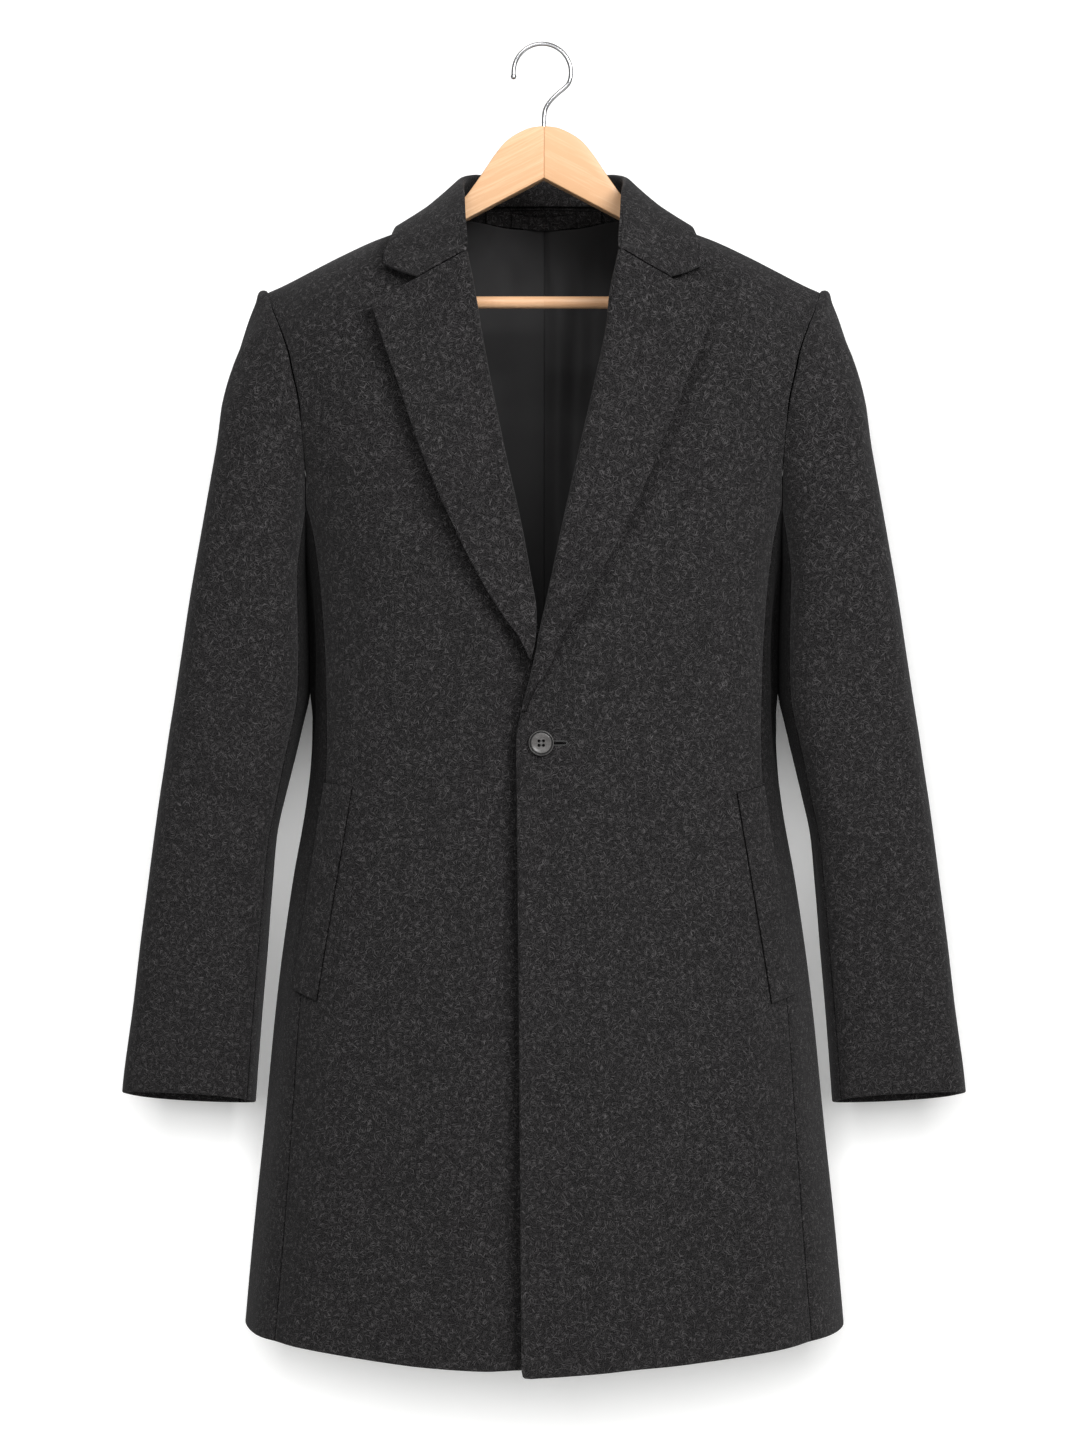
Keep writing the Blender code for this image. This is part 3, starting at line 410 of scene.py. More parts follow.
def spread(lengths, cells, first, last, along):
    """Grid lines across a panel of these widths, crowded at both borders."""
    near, near_share = border(first)
    far, far_share = border(last)
    middle = np.linspace(0, 1, cells + 1)[1:-1]
    lengths = np.expand_dims(lengths, along)
    shape = [1, 1]
    shape[along] = -1
    near, inner, far = near.reshape(shape), middle.reshape(shape), far[::-1].reshape(shape)
    lines = [near / lengths, (first + (lengths - first - last) * inner) / lengths, 1 - far / lengths]
    share = np.concatenate([near_share, np.ones(len(middle)), far_share[::-1]])
    return np.concatenate(lines, along), share


def measured(points, axis):
    return np.linalg.norm(np.diff(points, axis=axis), axis=-1).sum(axis)


def round_corner(u, v, width, height, corner, radius):
    """Pull the grid in at one corner, as a cutter rounds it off."""
    right, top = "right" in corner, "top" in corner
    a = (1 - u if right else u) * width
    b = (v if top else 1 - v) * height
    x = np.clip(1 - a / radius, 0, 1)
    y = np.clip(1 - b / radius, 0, 1)
    inside = (x > 0) & (y > 0)
    a = np.where(inside, radius * (1 - x * np.sqrt(1 - y * y / 2)), a) / width
    b = np.where(inside, radius * (1 - y * np.sqrt(1 - x * x / 2)), b) / height
    return (1 - a if right else a), (b if top else 1 - b)


print("a free edge has", 2 * len(EDGE_STEPS) - 1, "points round it")


# %% From a grid to a closed shell
def rim_of(shape):
    """True for the points along the border of a grid."""
    rim = np.zeros(shape, bool)
    rim[[0, -1], :] = True
    rim[:, [0, -1]] = True
    return rim


def faces_of(index):
    """Four-cornered faces between neighbours in a grid of point numbers."""
    corners = [index[:-1, :-1], index[:-1, 1:], index[1:, 1:], index[1:, :-1]]
    return np.stack(corners, -1).reshape(-1, 4)


def new_piece(name, points, faces):
    mesh = bpy.data.meshes.new(name)
    mesh.from_pydata(points.tolist(), [], faces.tolist())
    piece = bpy.data.objects.new(name, mesh)
    bpy.context.scene.collection.objects.link(piece)
    index = np.empty(len(mesh.loops), np.int32)
    mesh.loops.foreach_get("vertex_index", index)
    return piece, index


def shell(name, middle, offset, side=1, turned=False):
    """Join an outer and an inner face along their shared border. turned says
    that u runs the other way round, so that the faces are wound to suit.
    """
    outer = ((middle + offset) * (side, 1, 1)).reshape(-1, 3)
    inner = ((middle - offset) * (side, 1, 1)).reshape(-1, 3)
    order = np.arange(len(outer)).reshape(middle.shape[:2])
    apart = ~rim_of(order.shape)
    behind = np.where(apart, len(outer) + np.cumsum(apart).reshape(order.shape) - 1, order)
    one, two = faces_of(order), faces_of(behind)[:, ::-1]
    if (side > 0) != turned:
        one, two = one[:, ::-1], two[:, ::-1]
    points = np.concatenate([outer, inner[apart.ravel()]])
    piece, index = new_piece(name, points, np.concatenate([one, two]))
    spot = unslanted(middle, len(name))
    layer = piece.data.uv_layers.new(name="cloth")
    layer.data.foreach_set("uv", np.concatenate([spot, spot[apart.ravel()]])[index].ravel())
    piece.data.update()
    piece.data.shade_smooth()
    crossed = np.cross(middle[1:, 1:] - middle[:-1, :-1], middle[1:, :-1] - middle[:-1, 1:])
    print(f"{name}: {len(points)} points, {np.linalg.norm(crossed, axis=-1).sum() / 2:.4f} m2 of cloth,",
          f"{measured(middle, 1).max():.3f} by {measured(middle, 0).max():.3f} m")
    return piece

# %% [markdown]
# The nap must not slant where a panel is curved, so each panel is flattened in
# a way that keeps its angles. The flat piece is then turned and sized to lie
# over the panel as a tape measures it, which makes its UV map metres of cloth.

# %% Pattern pieces
NAP_SHIFT = (0.37, 0.21)         # metres, so that each piece shows its own part of the nap
UNWRAP_SCALE = 10                # the flattening tool is more exact on a large mesh


def taped(middle, seed):
    """Metres across and down a panel, measured along its rows and columns."""
    across, down = (np.linalg.norm(np.diff(middle, axis=axis), axis=-1) for axis in (1, 0))
    across = np.concatenate([np.zeros((len(across), 1)), np.cumsum(across, 1)], 1)
    across -= across[:, [across.shape[1] // 2]]
    down = np.concatenate([np.zeros((1, down.shape[1])), np.cumsum(down, 0)], 0)
    down -= down[-1:]
    return across + NAP_SHIFT[0] * seed, down + NAP_SHIFT[1] * seed


def unslanted(middle, seed):
    """Flatten a panel and lay it over its own measured pattern piece."""
    order = np.arange(middle.shape[0] * middle.shape[1]).reshape(middle.shape[:2])
    trial, index = new_piece("pattern piece", middle.reshape(-1, 3) * UNWRAP_SCALE, faces_of(order))
    trial.data.uv_layers.new(name="flat")
    bpy.ops.object.select_all(action="DESELECT")
    trial.select_set(True)
    bpy.context.view_layer.objects.active = trial
    bpy.ops.object.mode_set(mode="EDIT")
    bpy.ops.mesh.select_all(action="SELECT")
    bpy.ops.uv.unwrap(method="CONFORMAL", margin=0.0, correct_aspect=False)
    bpy.ops.object.mode_set(mode="OBJECT")
    corners = np.empty(len(index) * 2, np.float32)
    trial.data.uv_layers[0].data.foreach_get("uv", corners)
    bpy.data.objects.remove(trial)
    laid = np.zeros(order.size, complex)
    laid[index] = corners[0::2] + 1j * corners[1::2]
    across, down = taped(middle, seed)
    goal = across.ravel() + 1j * down.ravel()
    centre = goal.mean()
    laid, goal = laid - laid.mean(), goal - centre
    straight, mirrored = (np.conj(laid) * goal).sum(), (laid * goal).sum()
    if abs(mirrored) > abs(straight):
        laid, straight = np.conj(laid), mirrored
    size = math.sqrt((abs(goal) ** 2).sum() / (abs(laid) ** 2).sum())
    laid = laid * straight / abs(straight) * size + centre
    return np.stack([laid.real, laid.imag], -1)

# %% [markdown]
# Each point also stores how little light reaches it. That is the case in the
# groove of a seam, and on the cloth between a sleeve and the body, which stays
# nearly black however bright the room is.

# %% Painted shade and the cut of a piece
# Painted shade on the cloth between a sleeve and the body's side
DARK_DOWN_TO = {"wool_under_sleeve": 0.95, "wool_side": 0.60}    # as a share of the piece's length
DARKEST = 0.85
FADE_FROM, FADE_ACROSS = 0.4, 0.4


def dark_between(name, shape):
    """Painted shade for each point of a piece beside the sleeve or the body, most in its middle and at its
    top.
    """
    dark = np.zeros(shape)
    for start, reach in DARK_DOWN_TO.items():
        if name.startswith(start):
            across = np.sin(np.pi * np.linspace(0, 1, shape[1])) ** FADE_ACROSS
            down = 1 - ease(FADE_FROM * reach, reach, np.linspace(0, 1, shape[0]))
            dark = DARKEST * across[None, :] * down[:, None]
    return dark


def paint_groove_shade(piece, share_u, share_v, radii, sewn):
    """Store painted shade at each point: how deep in a seam's groove it lies, and the shade between sleeve
    and body. sewn gives, for an edge that is sewn along part of its length only, where that part ends.
    """
    deep = dark_between(piece.name, (len(share_v), len(share_u)))
    first, last = slice(None, len(EDGE_STEPS)), slice(-len(EDGE_STEPS), None)
    for edge, share, stretch in (("left", share_u, first), ("right", share_u, last),
                                 ("top", share_v, first), ("bottom", share_v, last)):
        if radii[edge] > DEEPEST_FREE and edge not in sewn:
            continue
        near = np.zeros(len(share))
        near[stretch] = np.sqrt(1 - share[stretch])
        upright = share is share_u
        along = np.linspace(0, 1, deep.shape[0 if upright else 1]) < sewn.get(edge, 1.1)
        deep = np.maximum(deep, np.outer(along, near) if upright else np.outer(near, along))
    values = np.concatenate([deep.ravel(), deep[~rim_of(deep.shape)]])
    # the groove attribute carries this painted shade into the wool's colour, sheen and shine
    layer = piece.data.attributes.new("groove", "FLOAT", "POINT")
    layer.data.foreach_set("value", values.astype(np.float32))
    return piece


def cloth(name, place, cells, edges, side=0, thickness=WOOL, corners=None, turned=False, sewn=None):
    """A closed shell of cloth. place(u, v) gives the outer face and its outward
    direction; u runs from left to right and v from top to bottom. side is 1 or
    -1 for a left or a right piece, and 0 for one in the middle.
    """
    if side:
        name += "_" + SIDES[side]
    radii = dict.fromkeys(("left", "right", "top", "bottom"), SEWN)
    radii.update(edges)
    fine = np.linspace(0, 1, 25)
    rough, _ = place(*np.meshgrid(fine, fine))
    widths, heights = measured(rough, 1), measured(rough, 0)
    rows = np.linspace(0, 1, cells[1] - 1 + 2 * len(EDGE_STEPS))
    u, share_u = spread(np.interp(rows, fine, widths), cells[0], radii["left"], radii["right"], 1)
    columns = np.linspace(0, 1, u.shape[1])
    v, share_v = spread(np.interp(columns, fine, heights), cells[1], radii["top"], radii["bottom"], 0)
    here_w, here_h = np.interp(v, fine, widths), np.interp(u, fine, heights)
    for corner, radius in (corners or {}).items():
        u, v = round_corner(u, v, here_w, here_h, corner, radius)
    outer, normal = place(u, v)
    half = thickness / 2
    share = (share_u[None, :] * share_v[:, None])[..., None]
    made = shell(name, outer - normal * half, normal * half * share, side or 1, turned)
    return paint_groove_shade(made, share_u, share_v, radii, sewn or {})


pieces = {}


def make_pairs(**makers):
    """Make the left one of each piece, then the right one of each."""
    for side, word in SIDES.items():
        for part, make in makers.items():
            pieces[part + "_" + word] = make(side)


print("a seam's groove is", SEWN * 1000, "mm wide on each side")

# %% [markdown]
# ## Fronts, side bodies and backs
#
# The body of the coat is cut in six: two fronts, two narrow side bodies that
# shape the waist, and two backs with a seam down the middle. Each is the same
# stretch of the body shape between two upright lines, a hem and a shoulder
# seam. The left front laps over the right and rides a little further out.


# %% Panels of the body
HEM_HALF = 0.247         # half the coat's width at the hem
OVER_DIP = 0.0045        # the over front's corner hangs this much lower
ROLL_TUCK = 0.0042       # the front's edge hides this far inside the rolled lapel
NECK_TUCK = 0.0060       # and this much further in below the collar
EDGE_STAND = 0.0045      # the over front's edge curls forward this much more
UNDER_HOLLOW = 0.0095    # and the under front sinks away from it
LAPEL_HOLLOW = {1: 0.0056, -1: 0.0064}
BESIDE_WIDTH = {1: 0.012, -1: 0.017}
NOTCH_HOLLOW = 0.0070


def panel(left, right, low, high):
    """Lay a grid between two upright edges and two level ones."""
    def spot(u, v):
        turn = np.full(np.shape(u), 60.0)
        for _ in range(9):
            bottom, top = low(turn), high(turn)
            drop = top + (bottom - top) * v
            z = body(turn, drop)[..., 2]
            turn = left(z) + (right(z) - left(z)) * u
        return turn, drop
    return spot


def level(degrees):
    return lambda z: np.full(np.shape(z), degrees)


def hem_drop(turn, dip=0.0):
    across, _ = ring(turn, FULLNESS)
    x = HEM_HALF * across
    return drop_at(turn, read(HEM, np.abs(x), "height") - dip * ease(0.08, -0.03, x))


def back_hem_drop(turn, lifted=0.0):
    return drop_at(turn, np.full(np.shape(turn), BACK_HEM_HEIGHT + lifted))


def side_edge(z, column):
    """Degrees from the centre line to a panel's side seam, then its armhole."""
    corner, widest = ARM_CORNER[column]
    seam, arm = read(SIDE_SEAMS, z, column), read(ARMHOLE, z, column)
    return np.where(z < corner, seam, np.minimum(arm, widest))


def front_side_edge(z):
    return side_edge(z, "front") - HAIR


def back_side_edge(z):
    return 180 - side_edge(z, "back") + HAIR


def front_edge(side):
    bottom = LAPEL[side]["height"][0]

    def edge(z):
        tuck = ROLL_TUCK * ease(bottom + 0.010, bottom + 0.075, z)
        tuck = (tuck + NECK_TUCK * ease(-0.200, -0.182, z)) * (1 - ease(-0.160, -0.140, z))
        return turn_at(read(EDGE[side], z, "across") + tuck, z)
    return edge


def front_relief(x, z, side):
    """Hollows under the edges that stand away from the fronts."""
    past = x - read(LAPEL[side], z, "outer")
    beside = np.exp(-np.where(past > 0, past / BESIDE_WIDTH[side], past / 0.030) ** 2)
    tall = ease(-0.200, -0.270, z) * (1 - ease(-0.490, -0.560, z))
    notch = np.exp(-((x - 0.127) / 0.024) ** 2 - ((z + 0.212) / 0.022) ** 2)
    relief = -LAPEL_HOLLOW[side] * beside * tall - NOTCH_HOLLOW * notch
    if side > 0:
        return relief + EDGE_STAND * (1 - ease(-0.022, -0.002, x)) * ease(-0.540, -0.620, z)
    return relief - UNDER_HOLLOW * (1 - ease(0.018, 0.047, x)) * ease(-0.470, -0.530, z)


def front(side):
    dip = OVER_DIP if side > 0 else 0.0
    spot = panel(front_edge(side), front_side_edge, lambda turn: hem_drop(turn, dip), lambda turn: 0 * turn)

    def place(u, v):
        turn, drop = spot(u, v)
        point = body(turn, drop)
        lift = overlap_lift(point[..., 0]) if side > 0 else 0 * turn
        lift = lift + front_relief(point[..., 0], point[..., 2], side)
        return on_body(turn, drop, lift, side)
    return cloth("wool_front", place, (52, 200), {"left": FREE, "bottom": FREE}, side,
                 corners={"left bottom": 0.005})


def back_neck_drop(turn, at, xs, zs):
    """Drop to the back neck's line, given as heights at distances across."""
    x = np.abs(body(turn, at)[..., 0])
    return x, drop_at(turn, np.interp(x, xs, zs))


def back(side):
    def neck(turn):
        x, drop = back_neck_drop(turn, 0.02, [0, 0.04, 0.06, 0.076, 0.0825],
                                 [-0.122, -0.124, -0.1275, -0.131, -0.1331])
        return np.where(x < 0.0820, np.maximum(drop, 0), 0)
    spot = panel(level(180 - HAIR), back_side_edge, back_hem_drop, neck)
    return cloth("wool_back", lambda u, v: on_body(*spot(1 - u, v), 0 * u, side), (48, 180),
                 {"bottom": FREE}, side)


def underarm_drop(turn):
    """The armhole's lowest part, as a top edge for the side body."""
    rows = slice(3, None, -1)
    heights = ARMHOLE["height"][rows]
    z = np.where(turn < 90, np.interp(turn, ARMHOLE["front"][rows], heights),
                 np.interp(180 - turn, ARMHOLE["back"][rows], heights))
    return drop_at(turn, z)


def side_low(turn):
    return hem_drop(turn) * ease(125, 65, turn) + back_hem_drop(turn) * ease(65, 125, turn)


def side_body(side):
    spot = panel(lambda z: read(SIDE_SEAMS, z, "front") + HAIR,
                 lambda z: 180 - read(SIDE_SEAMS, z, "back") - HAIR, side_low, underarm_drop)
    return cloth("wool_side", lambda u, v: on_body(*spot(u, v), 0 * u, side), (26, 130),
                 {"bottom": FREE}, side)


make_pairs(front=front, back=back, side=side_body)

# %% [markdown]
# ## Sleeves
#
# A tailored sleeve has two pieces: a wide top sleeve that shows from the
# front, and a narrow under sleeve that faces the body. Both are stretches of
# one tube. Its head starts on the armhole seam, swells out over it, and runs
# into a tube that narrows to the cuff. A ridge just past the seam stands for
# the strip of wadding that fills a sleeve head.


# %% Sleeve shape
SLEEVE_DEGREE = 0.0010   # metres of cloth to one degree round the sleeve
SEAM_OUT, SEAM_UP = 0.0003, 0.0012   # the edge stands off the armhole, and rises at the shoulder
TUBE_TOP, OUTER_RISE, INNER_DROP = -0.388, 0.088, 0.075      # height where the tube starts
WADDING, WADDING_WAY, WADDING_WIDTH = 0.0030, 0.12, 0.09     # the ridge past the seam
REST_TURN, REST_WIDTH = 183, 40      # where the sleeve rests on the body, in degrees
CALM = 25                # no creases within this many degrees of the front seam
SLEEVE_CREASES = [
    (20.0, -0.235, 24.0, -0.330, 0.012, 0.0022),
    (48.0, -0.300, 60.0, -0.430, 0.013, -0.0016),
    (-20.0, -0.260, -28.0, -0.420, 0.018, 0.0020),
    (110.0, -0.520, 55.0, -0.590, 0.014, -0.0020),
    (130.0, -0.590, 70.0, -0.610, 0.010, 0.0014),
    (120.0, -0.640, 60.0, -0.610, 0.012, -0.0016),
    (80.0, -0.640, 74.0, -0.860, 0.020, 0.0014),
    (-60.0, -0.440, -40.0, -0.640, 0.022, -0.0024),
    (-95.0, -0.520, -30.0, -0.570, 0.014, 0.0026),
    (-100.0, -0.600, -40.0, -0.640, 0.013, -0.0024),
    (-70.0, -0.660, -66.0, -0.860, 0.018, -0.0018),
    (185.0, -0.600, 180.0, -0.740, 0.016, -0.0018),
]


def armhole(fraction, back_half):
    """A point of the armhole seam, from the shoulder down to the underarm."""
    heights = np.linspace(ARMHOLE["height"][-1], ARMHOLE["height"][0], 240)
    turn = np.minimum(read(ARMHOLE, heights, "back" if back_half else "front"), 90)
    turn = 180 - turn if back_half else turn
    points = body(turn, drop_at(turn, heights))
    way = np.concatenate([[0], np.cumsum(np.linalg.norm(np.diff(points, axis=0), axis=1))])
    way = way / way[-1]
    return np.stack([np.interp(fraction, way, points[:, k]) for k in range(3)], -1)


def armhole_ring(turn):
    """Sleeve degrees: 0 outer, 90 front, 180 inner, 270 back."""
    turn = np.asarray(turn, float) % 360
    front_part = armhole(np.clip(turn / 180, 0, 1), False)
    back_part = armhole(np.clip((360 - turn) / 180, 0, 1), True)
    point = np.where((turn <= 180)[..., None], front_part, back_part)
    upward = np.cos(np.radians(turn))
    point[..., 0] += (SEAM_OUT + SEAM_OUT * ease(0.1, 0.5, upward)) * (1 - ease(0.90, 0.98, upward))
    point[..., 2] += SEAM_UP * ease(0.2, 1.0, upward)
    return point


def sleeve_tube(turn, z):
    inner, outer = read(SLEEVE, z, "inner"), read(SLEEVE, z, "outer")
    s, c = np.sin(np.radians(turn)), np.cos(np.radians(turn))
    x = (inner + outer) / 2 + (outer - inner) / 2 * c * (1 + SLEEVE_FULLNESS * s * s)
    y = read(SLEEVE, z, "middle") - read(SLEEVE, z, "depth") * s * (1 + SLEEVE_FULLNESS * c * c)
    return np.stack([x, y, z], -1)


def sleeve(turn, way):
    """A point of the sleeve: way 0 at the armhole, 1 where the tube starts,
    and 2 at the cuff.
    """
    turn, way = np.broadcast_arrays(np.asarray(turn, float), np.asarray(way, float))
    s, c = np.sin(np.radians(turn)), np.cos(np.radians(turn))
    start = armhole_ring(turn)
    tube_top = TUBE_TOP + OUTER_RISE * np.maximum(c, 0) - INNER_DROP * np.maximum(-c, 0)
    cuff = CUFF_HEIGHT + CUFF_SLANT * s + CUFF_RISE * c
    t = np.clip(way, -0.05, 1)
    z_tube = tube_top + (cuff - tube_top) * np.maximum(way - 1, 0)
    tube = sleeve_tube(turn, tube_top)
    below = sleeve_tube(turn, tube_top - 0.002)
    reach = np.linalg.norm(tube - start, axis=-1)
    lead = np.stack([0.15 + 0.85 * np.clip((1.6 + 2 * c) / 2.2, 0, 1), -0.30 * s,
                     -0.48 + 0.62 * c], -1)
    lead = unit(lead) * (reach * (1.05 - 0.70 * np.maximum(c, 0)))[..., None]
    arrive = (below - tube) / 0.002 * (reach * 1.05)[..., None]
    t = t[..., None]
    cap = start * (1 + 2 * t) * (1 - t) ** 2 + tube * t * t * (3 - 2 * t)
    cap = cap + lead * t * (1 - t) ** 2 - arrive * t * t * (1 - t)
    return np.where((way > 1)[..., None], sleeve_tube(turn, z_tube), cap)


def sleeve_out(turn, way):
    low, high = np.clip(way - 0.01, -0.04, 2), np.clip(way + 0.01, 0, 2)
    around = sleeve(turn + 1, way) - sleeve(turn - 1, way)
    down = sleeve(turn, high) - sleeve(turn, low)
    return unit(np.cross(around, down))


def sleeve_creases(turn, way, z, side):
    turn = (turn + 180) % 360 - 180
    at = np.where(turn < -130, turn + 360, turn)
    lines = soft_lines(at, z, SLEEVE_CREASES, SLEEVE_DEGREE, 0.0 if side > 0 else 5.0)
    head = WADDING * np.exp(-((way - WADDING_WAY) / WADDING_WIDTH) ** 2)
    head = head * np.clip(np.cos(np.radians(turn)) + 0.6, 0, 1)
    seam = sum(ease(SLEEVE_FRONT_SEAM, SLEEVE_FRONT_SEAM + reach, at) for reach in (-CALM, CALM))
    fade = ease(0.0, 0.20, way)
    resting = touch(z) * np.exp(-(((at - REST_TURN) / REST_WIDTH) ** 2))
    return lines * fade * np.clip(seam, 0, 1) + head + resting


# %% Sleeve pieces
HEAD_PART = 0.34         # share of a sleeve piece's rows that make its head
HEAD_ROUND = 0.0036      # the sleeve's edge turns in this far at the armhole
TUCK = 0.015             # and is tucked under at the shoulder and the underarm


def sleeve_piece(name, start, end, columns, side):
    def place(u, v):
        turn = start + HAIR * 2 + (end - start - HAIR * 4) * u
        way = np.where(v < HEAD_PART, v / HEAD_PART, 1 + (v - HEAD_PART) / (1 - HEAD_PART))
        upward = np.cos(np.radians(turn))
        ends = np.maximum(ease(0.10, -0.25, upward), ease(0.90, 0.98, upward))
        point = sleeve(turn, way - TUCK * ends * (1 - ease(0, 0.2, way)))
        out = sleeve_out(turn, way)
        return point + out * sleeve_creases(turn, way, point[..., 2], side)[..., None], out
    return cloth("wool_" + name, place, (columns, 150), {"bottom": FREE, "top": HEAD_ROUND}, side,
                 turned=True, sewn={"top": 1.1})


make_pairs(
    top_sleeve=lambda side: sleeve_piece("top_sleeve", SLEEVE_BACK_SEAM - 360, SLEEVE_FRONT_SEAM, 84, side),
    under_sleeve=lambda side: sleeve_piece("under_sleeve", SLEEVE_FRONT_SEAM, SLEEVE_BACK_SEAM, 32, side))

# %% [markdown]
# ## Lapels
#
# A lapel is the top of the front turned back on itself. The turn is not a
# crease but a soft roll about as thick as three layers of cloth, so each lapel
# is one sheet that starts inside the coat as the facing, goes round the
# front's edge in a half circle, and lies on the chest with its outer edge
# lifting a little.

# %% Lapels
FACING_DEPTH = 0.012
ROLL_RADIUS = 0.0037     # of the sheet's middle line
ROLL_FROM, ROLL_TO = 0.10, 0.26      # shares of the sheet's width
LAPEL_GAP = 0.0015       # between the lapel's roll and the front
LAPEL_RISE = 0.0066      # how far the outer edge lifts
LAPEL_CROWN = 0.0016
LAPEL_DROP = 0.0030      # the gorge seam sits this far under the line of the solid


def gorge(x):
    """Height of the seam between lapel and collar."""
    return read(GORGE, x, "height") - LAPEL_DROP * (1 - ease(0.100, 0.134, x))


def lapel_shape(side):
    """place(u, v) for one lapel's outer face."""
    rows = LAPEL[side]
    bottom = rows["height"][0]

    def place(u, v):
        z = np.full(np.shape(u), -0.35)
        face = np.clip((u - ROLL_TO) / (1 - ROLL_TO), 0, 1)
        angle = math.pi * np.clip((ROLL_TO - u) / (ROLL_TO - ROLL_FROM), 0, 1)
        inside = np.clip((ROLL_FROM - u) / ROLL_FROM, 0, 1)
        for _ in range(12):
            grow = 0.22 + 0.78 * ease(bottom, bottom + 0.065, z)
            radius = ROLL_RADIUS * grow
            roll, outer = read(rows, z, "roll"), read(rows, z, "outer")
            centre = roll + radius + FREE
            x = centre + (outer - centre) * face + FACING_DEPTH * grow * inside
            z = gorge(x) + (bottom - gorge(x)) * v
        turn = turn_at(x, z)
        drop = drop_at(turn, z)
        base = overlap_lift(x) if side > 0 else 0 * x
        width = np.clip((outer - roll) / 0.05, 0.30, 1)
        first = base + FREE + LAPEL_GAP
        flat, normal = on_body(turn, drop, 0 * x, side)
        toward = unit(body(turn - 0.3, drop) - body(turn + 0.3, drop))
        crown = LAPEL_CROWN * width * np.sin(math.pi * face)
        lift = first + LAPEL_RISE * width * face ** 1.6 + crown
        lift = np.where(angle > 0, first - radius + radius * np.cos(angle), lift)
        c, s = np.cos(angle)[..., None], np.sin(angle)[..., None]
        out = unit(normal * c + toward * s)
        middle = flat + normal * lift[..., None] + toward * s * radius[..., None]
        return middle + out * FREE, out
    return place


def lapel_top(side):
    """Points along the lapel's top line, from the roll to the tip."""
    u = np.linspace(ROLL_TO, 1, 60)[None, :]
    return lapel_shape(side)(u, 0 * u)[0][0]


def lapel(side):
    return cloth("wool_lapel", lapel_shape(side), (54, 120), {"right": FREE, "bottom": 0.0008, "top": FREE},
                 side, corners={"right top": 0.004}, sewn={"top": 0.66})


make_pairs(lapel=lapel)

# %% [markdown]
# ## Collar
#
# The collar stands up round the neck, folds over and falls to its free edge.
# It could be bent from a flat strip, but a tailor's collar is stretched and
# shrunk with the iron until it has no flat state left, so it is lofted: a
# section across it at each place round the neck, from the sewn edge over the
# fold to the free edge.

# %% Collar
COLLAR_FOLD = 0.0036     # radius of the fold
COLLAR_SAG = 0.0022      # how far the fall hangs below a straight line
SEAM_GAP = 0.0004        # between the collar's edge and the lapel's top line


def collar_section(way):
    """Points across the collar: sewn edge, over the fold, to the free edge."""
    sewn, fold, free = (np.array([float(read(COLLAR, way, start + axis)) for axis in "xyz"])
                        for start in "sfe")
    lowered = ease(0.66, 0.84, way) * np.array([0, 0.0018 * ease(0.80, 0.92, way), -0.0041])
    sewn, fold = sewn + lowered, fold + lowered
    stand = np.linalg.norm(fold - sewn)
    out = unit((free - sewn) * np.array([1, 1, 0]))
    up = np.array([0, 0, 1.0])
    bend = min(COLLAR_FOLD, stand * 0.35)
    slope = math.atan2(fold[2] - free[2], np.linalg.norm((free - fold)[:2]))
    arc = [fold + out * bend * (1 + math.cos(t)) + up * bend * (math.sin(t) - 1)
           for t in np.linspace(math.pi, math.pi / 2 - min(max(slope, 0.2), 1.4), 17)]
    sag = up * COLLAR_SAG * min(1.0, stand / 0.01)
    return np.array([sewn, (sewn + arc[0]) / 2, *arc, (free + arc[-1]) / 2 - sag, free])


def on_line(at, along, line):
    """Points of a line at these distances along it."""
    return np.stack([np.interp(at, along, line[:, k]) for k in range(3)], -1)


def even_steps(points, count):
    """Spread points evenly along a line."""
    line = on_line(np.linspace(0, len(points) - 1, 800), np.arange(len(points)), points)
    way = np.concatenate([[0], np.cumsum(np.linalg.norm(np.diff(line, axis=0), axis=1))])
    return on_line(np.linspace(0, way[-1], count), way, line)


def seat_on_lapels(grid, ways):
    """Lay the collar's sewn edge against the top of each lapel, up to the notch."""
    near = 1 - ease(0.0, 0.55, np.linspace(0, 1, grid.shape[1]))
    for side in SIDES:
        top = lapel_top(side)
        for place in np.where(side * ways > 0.70)[0]:
            edge = grid[place, 0].copy()
            goal = np.array([edge[0], np.interp(edge[0] * side, top[:, 0], top[:, 1]),
                             np.interp(edge[0] * side, top[:, 0], top[:, 2]) + SEAM_GAP])
            grid[place] += (goal - edge) * ease(0.72, 0.80, abs(ways[place])) * near[:, None]


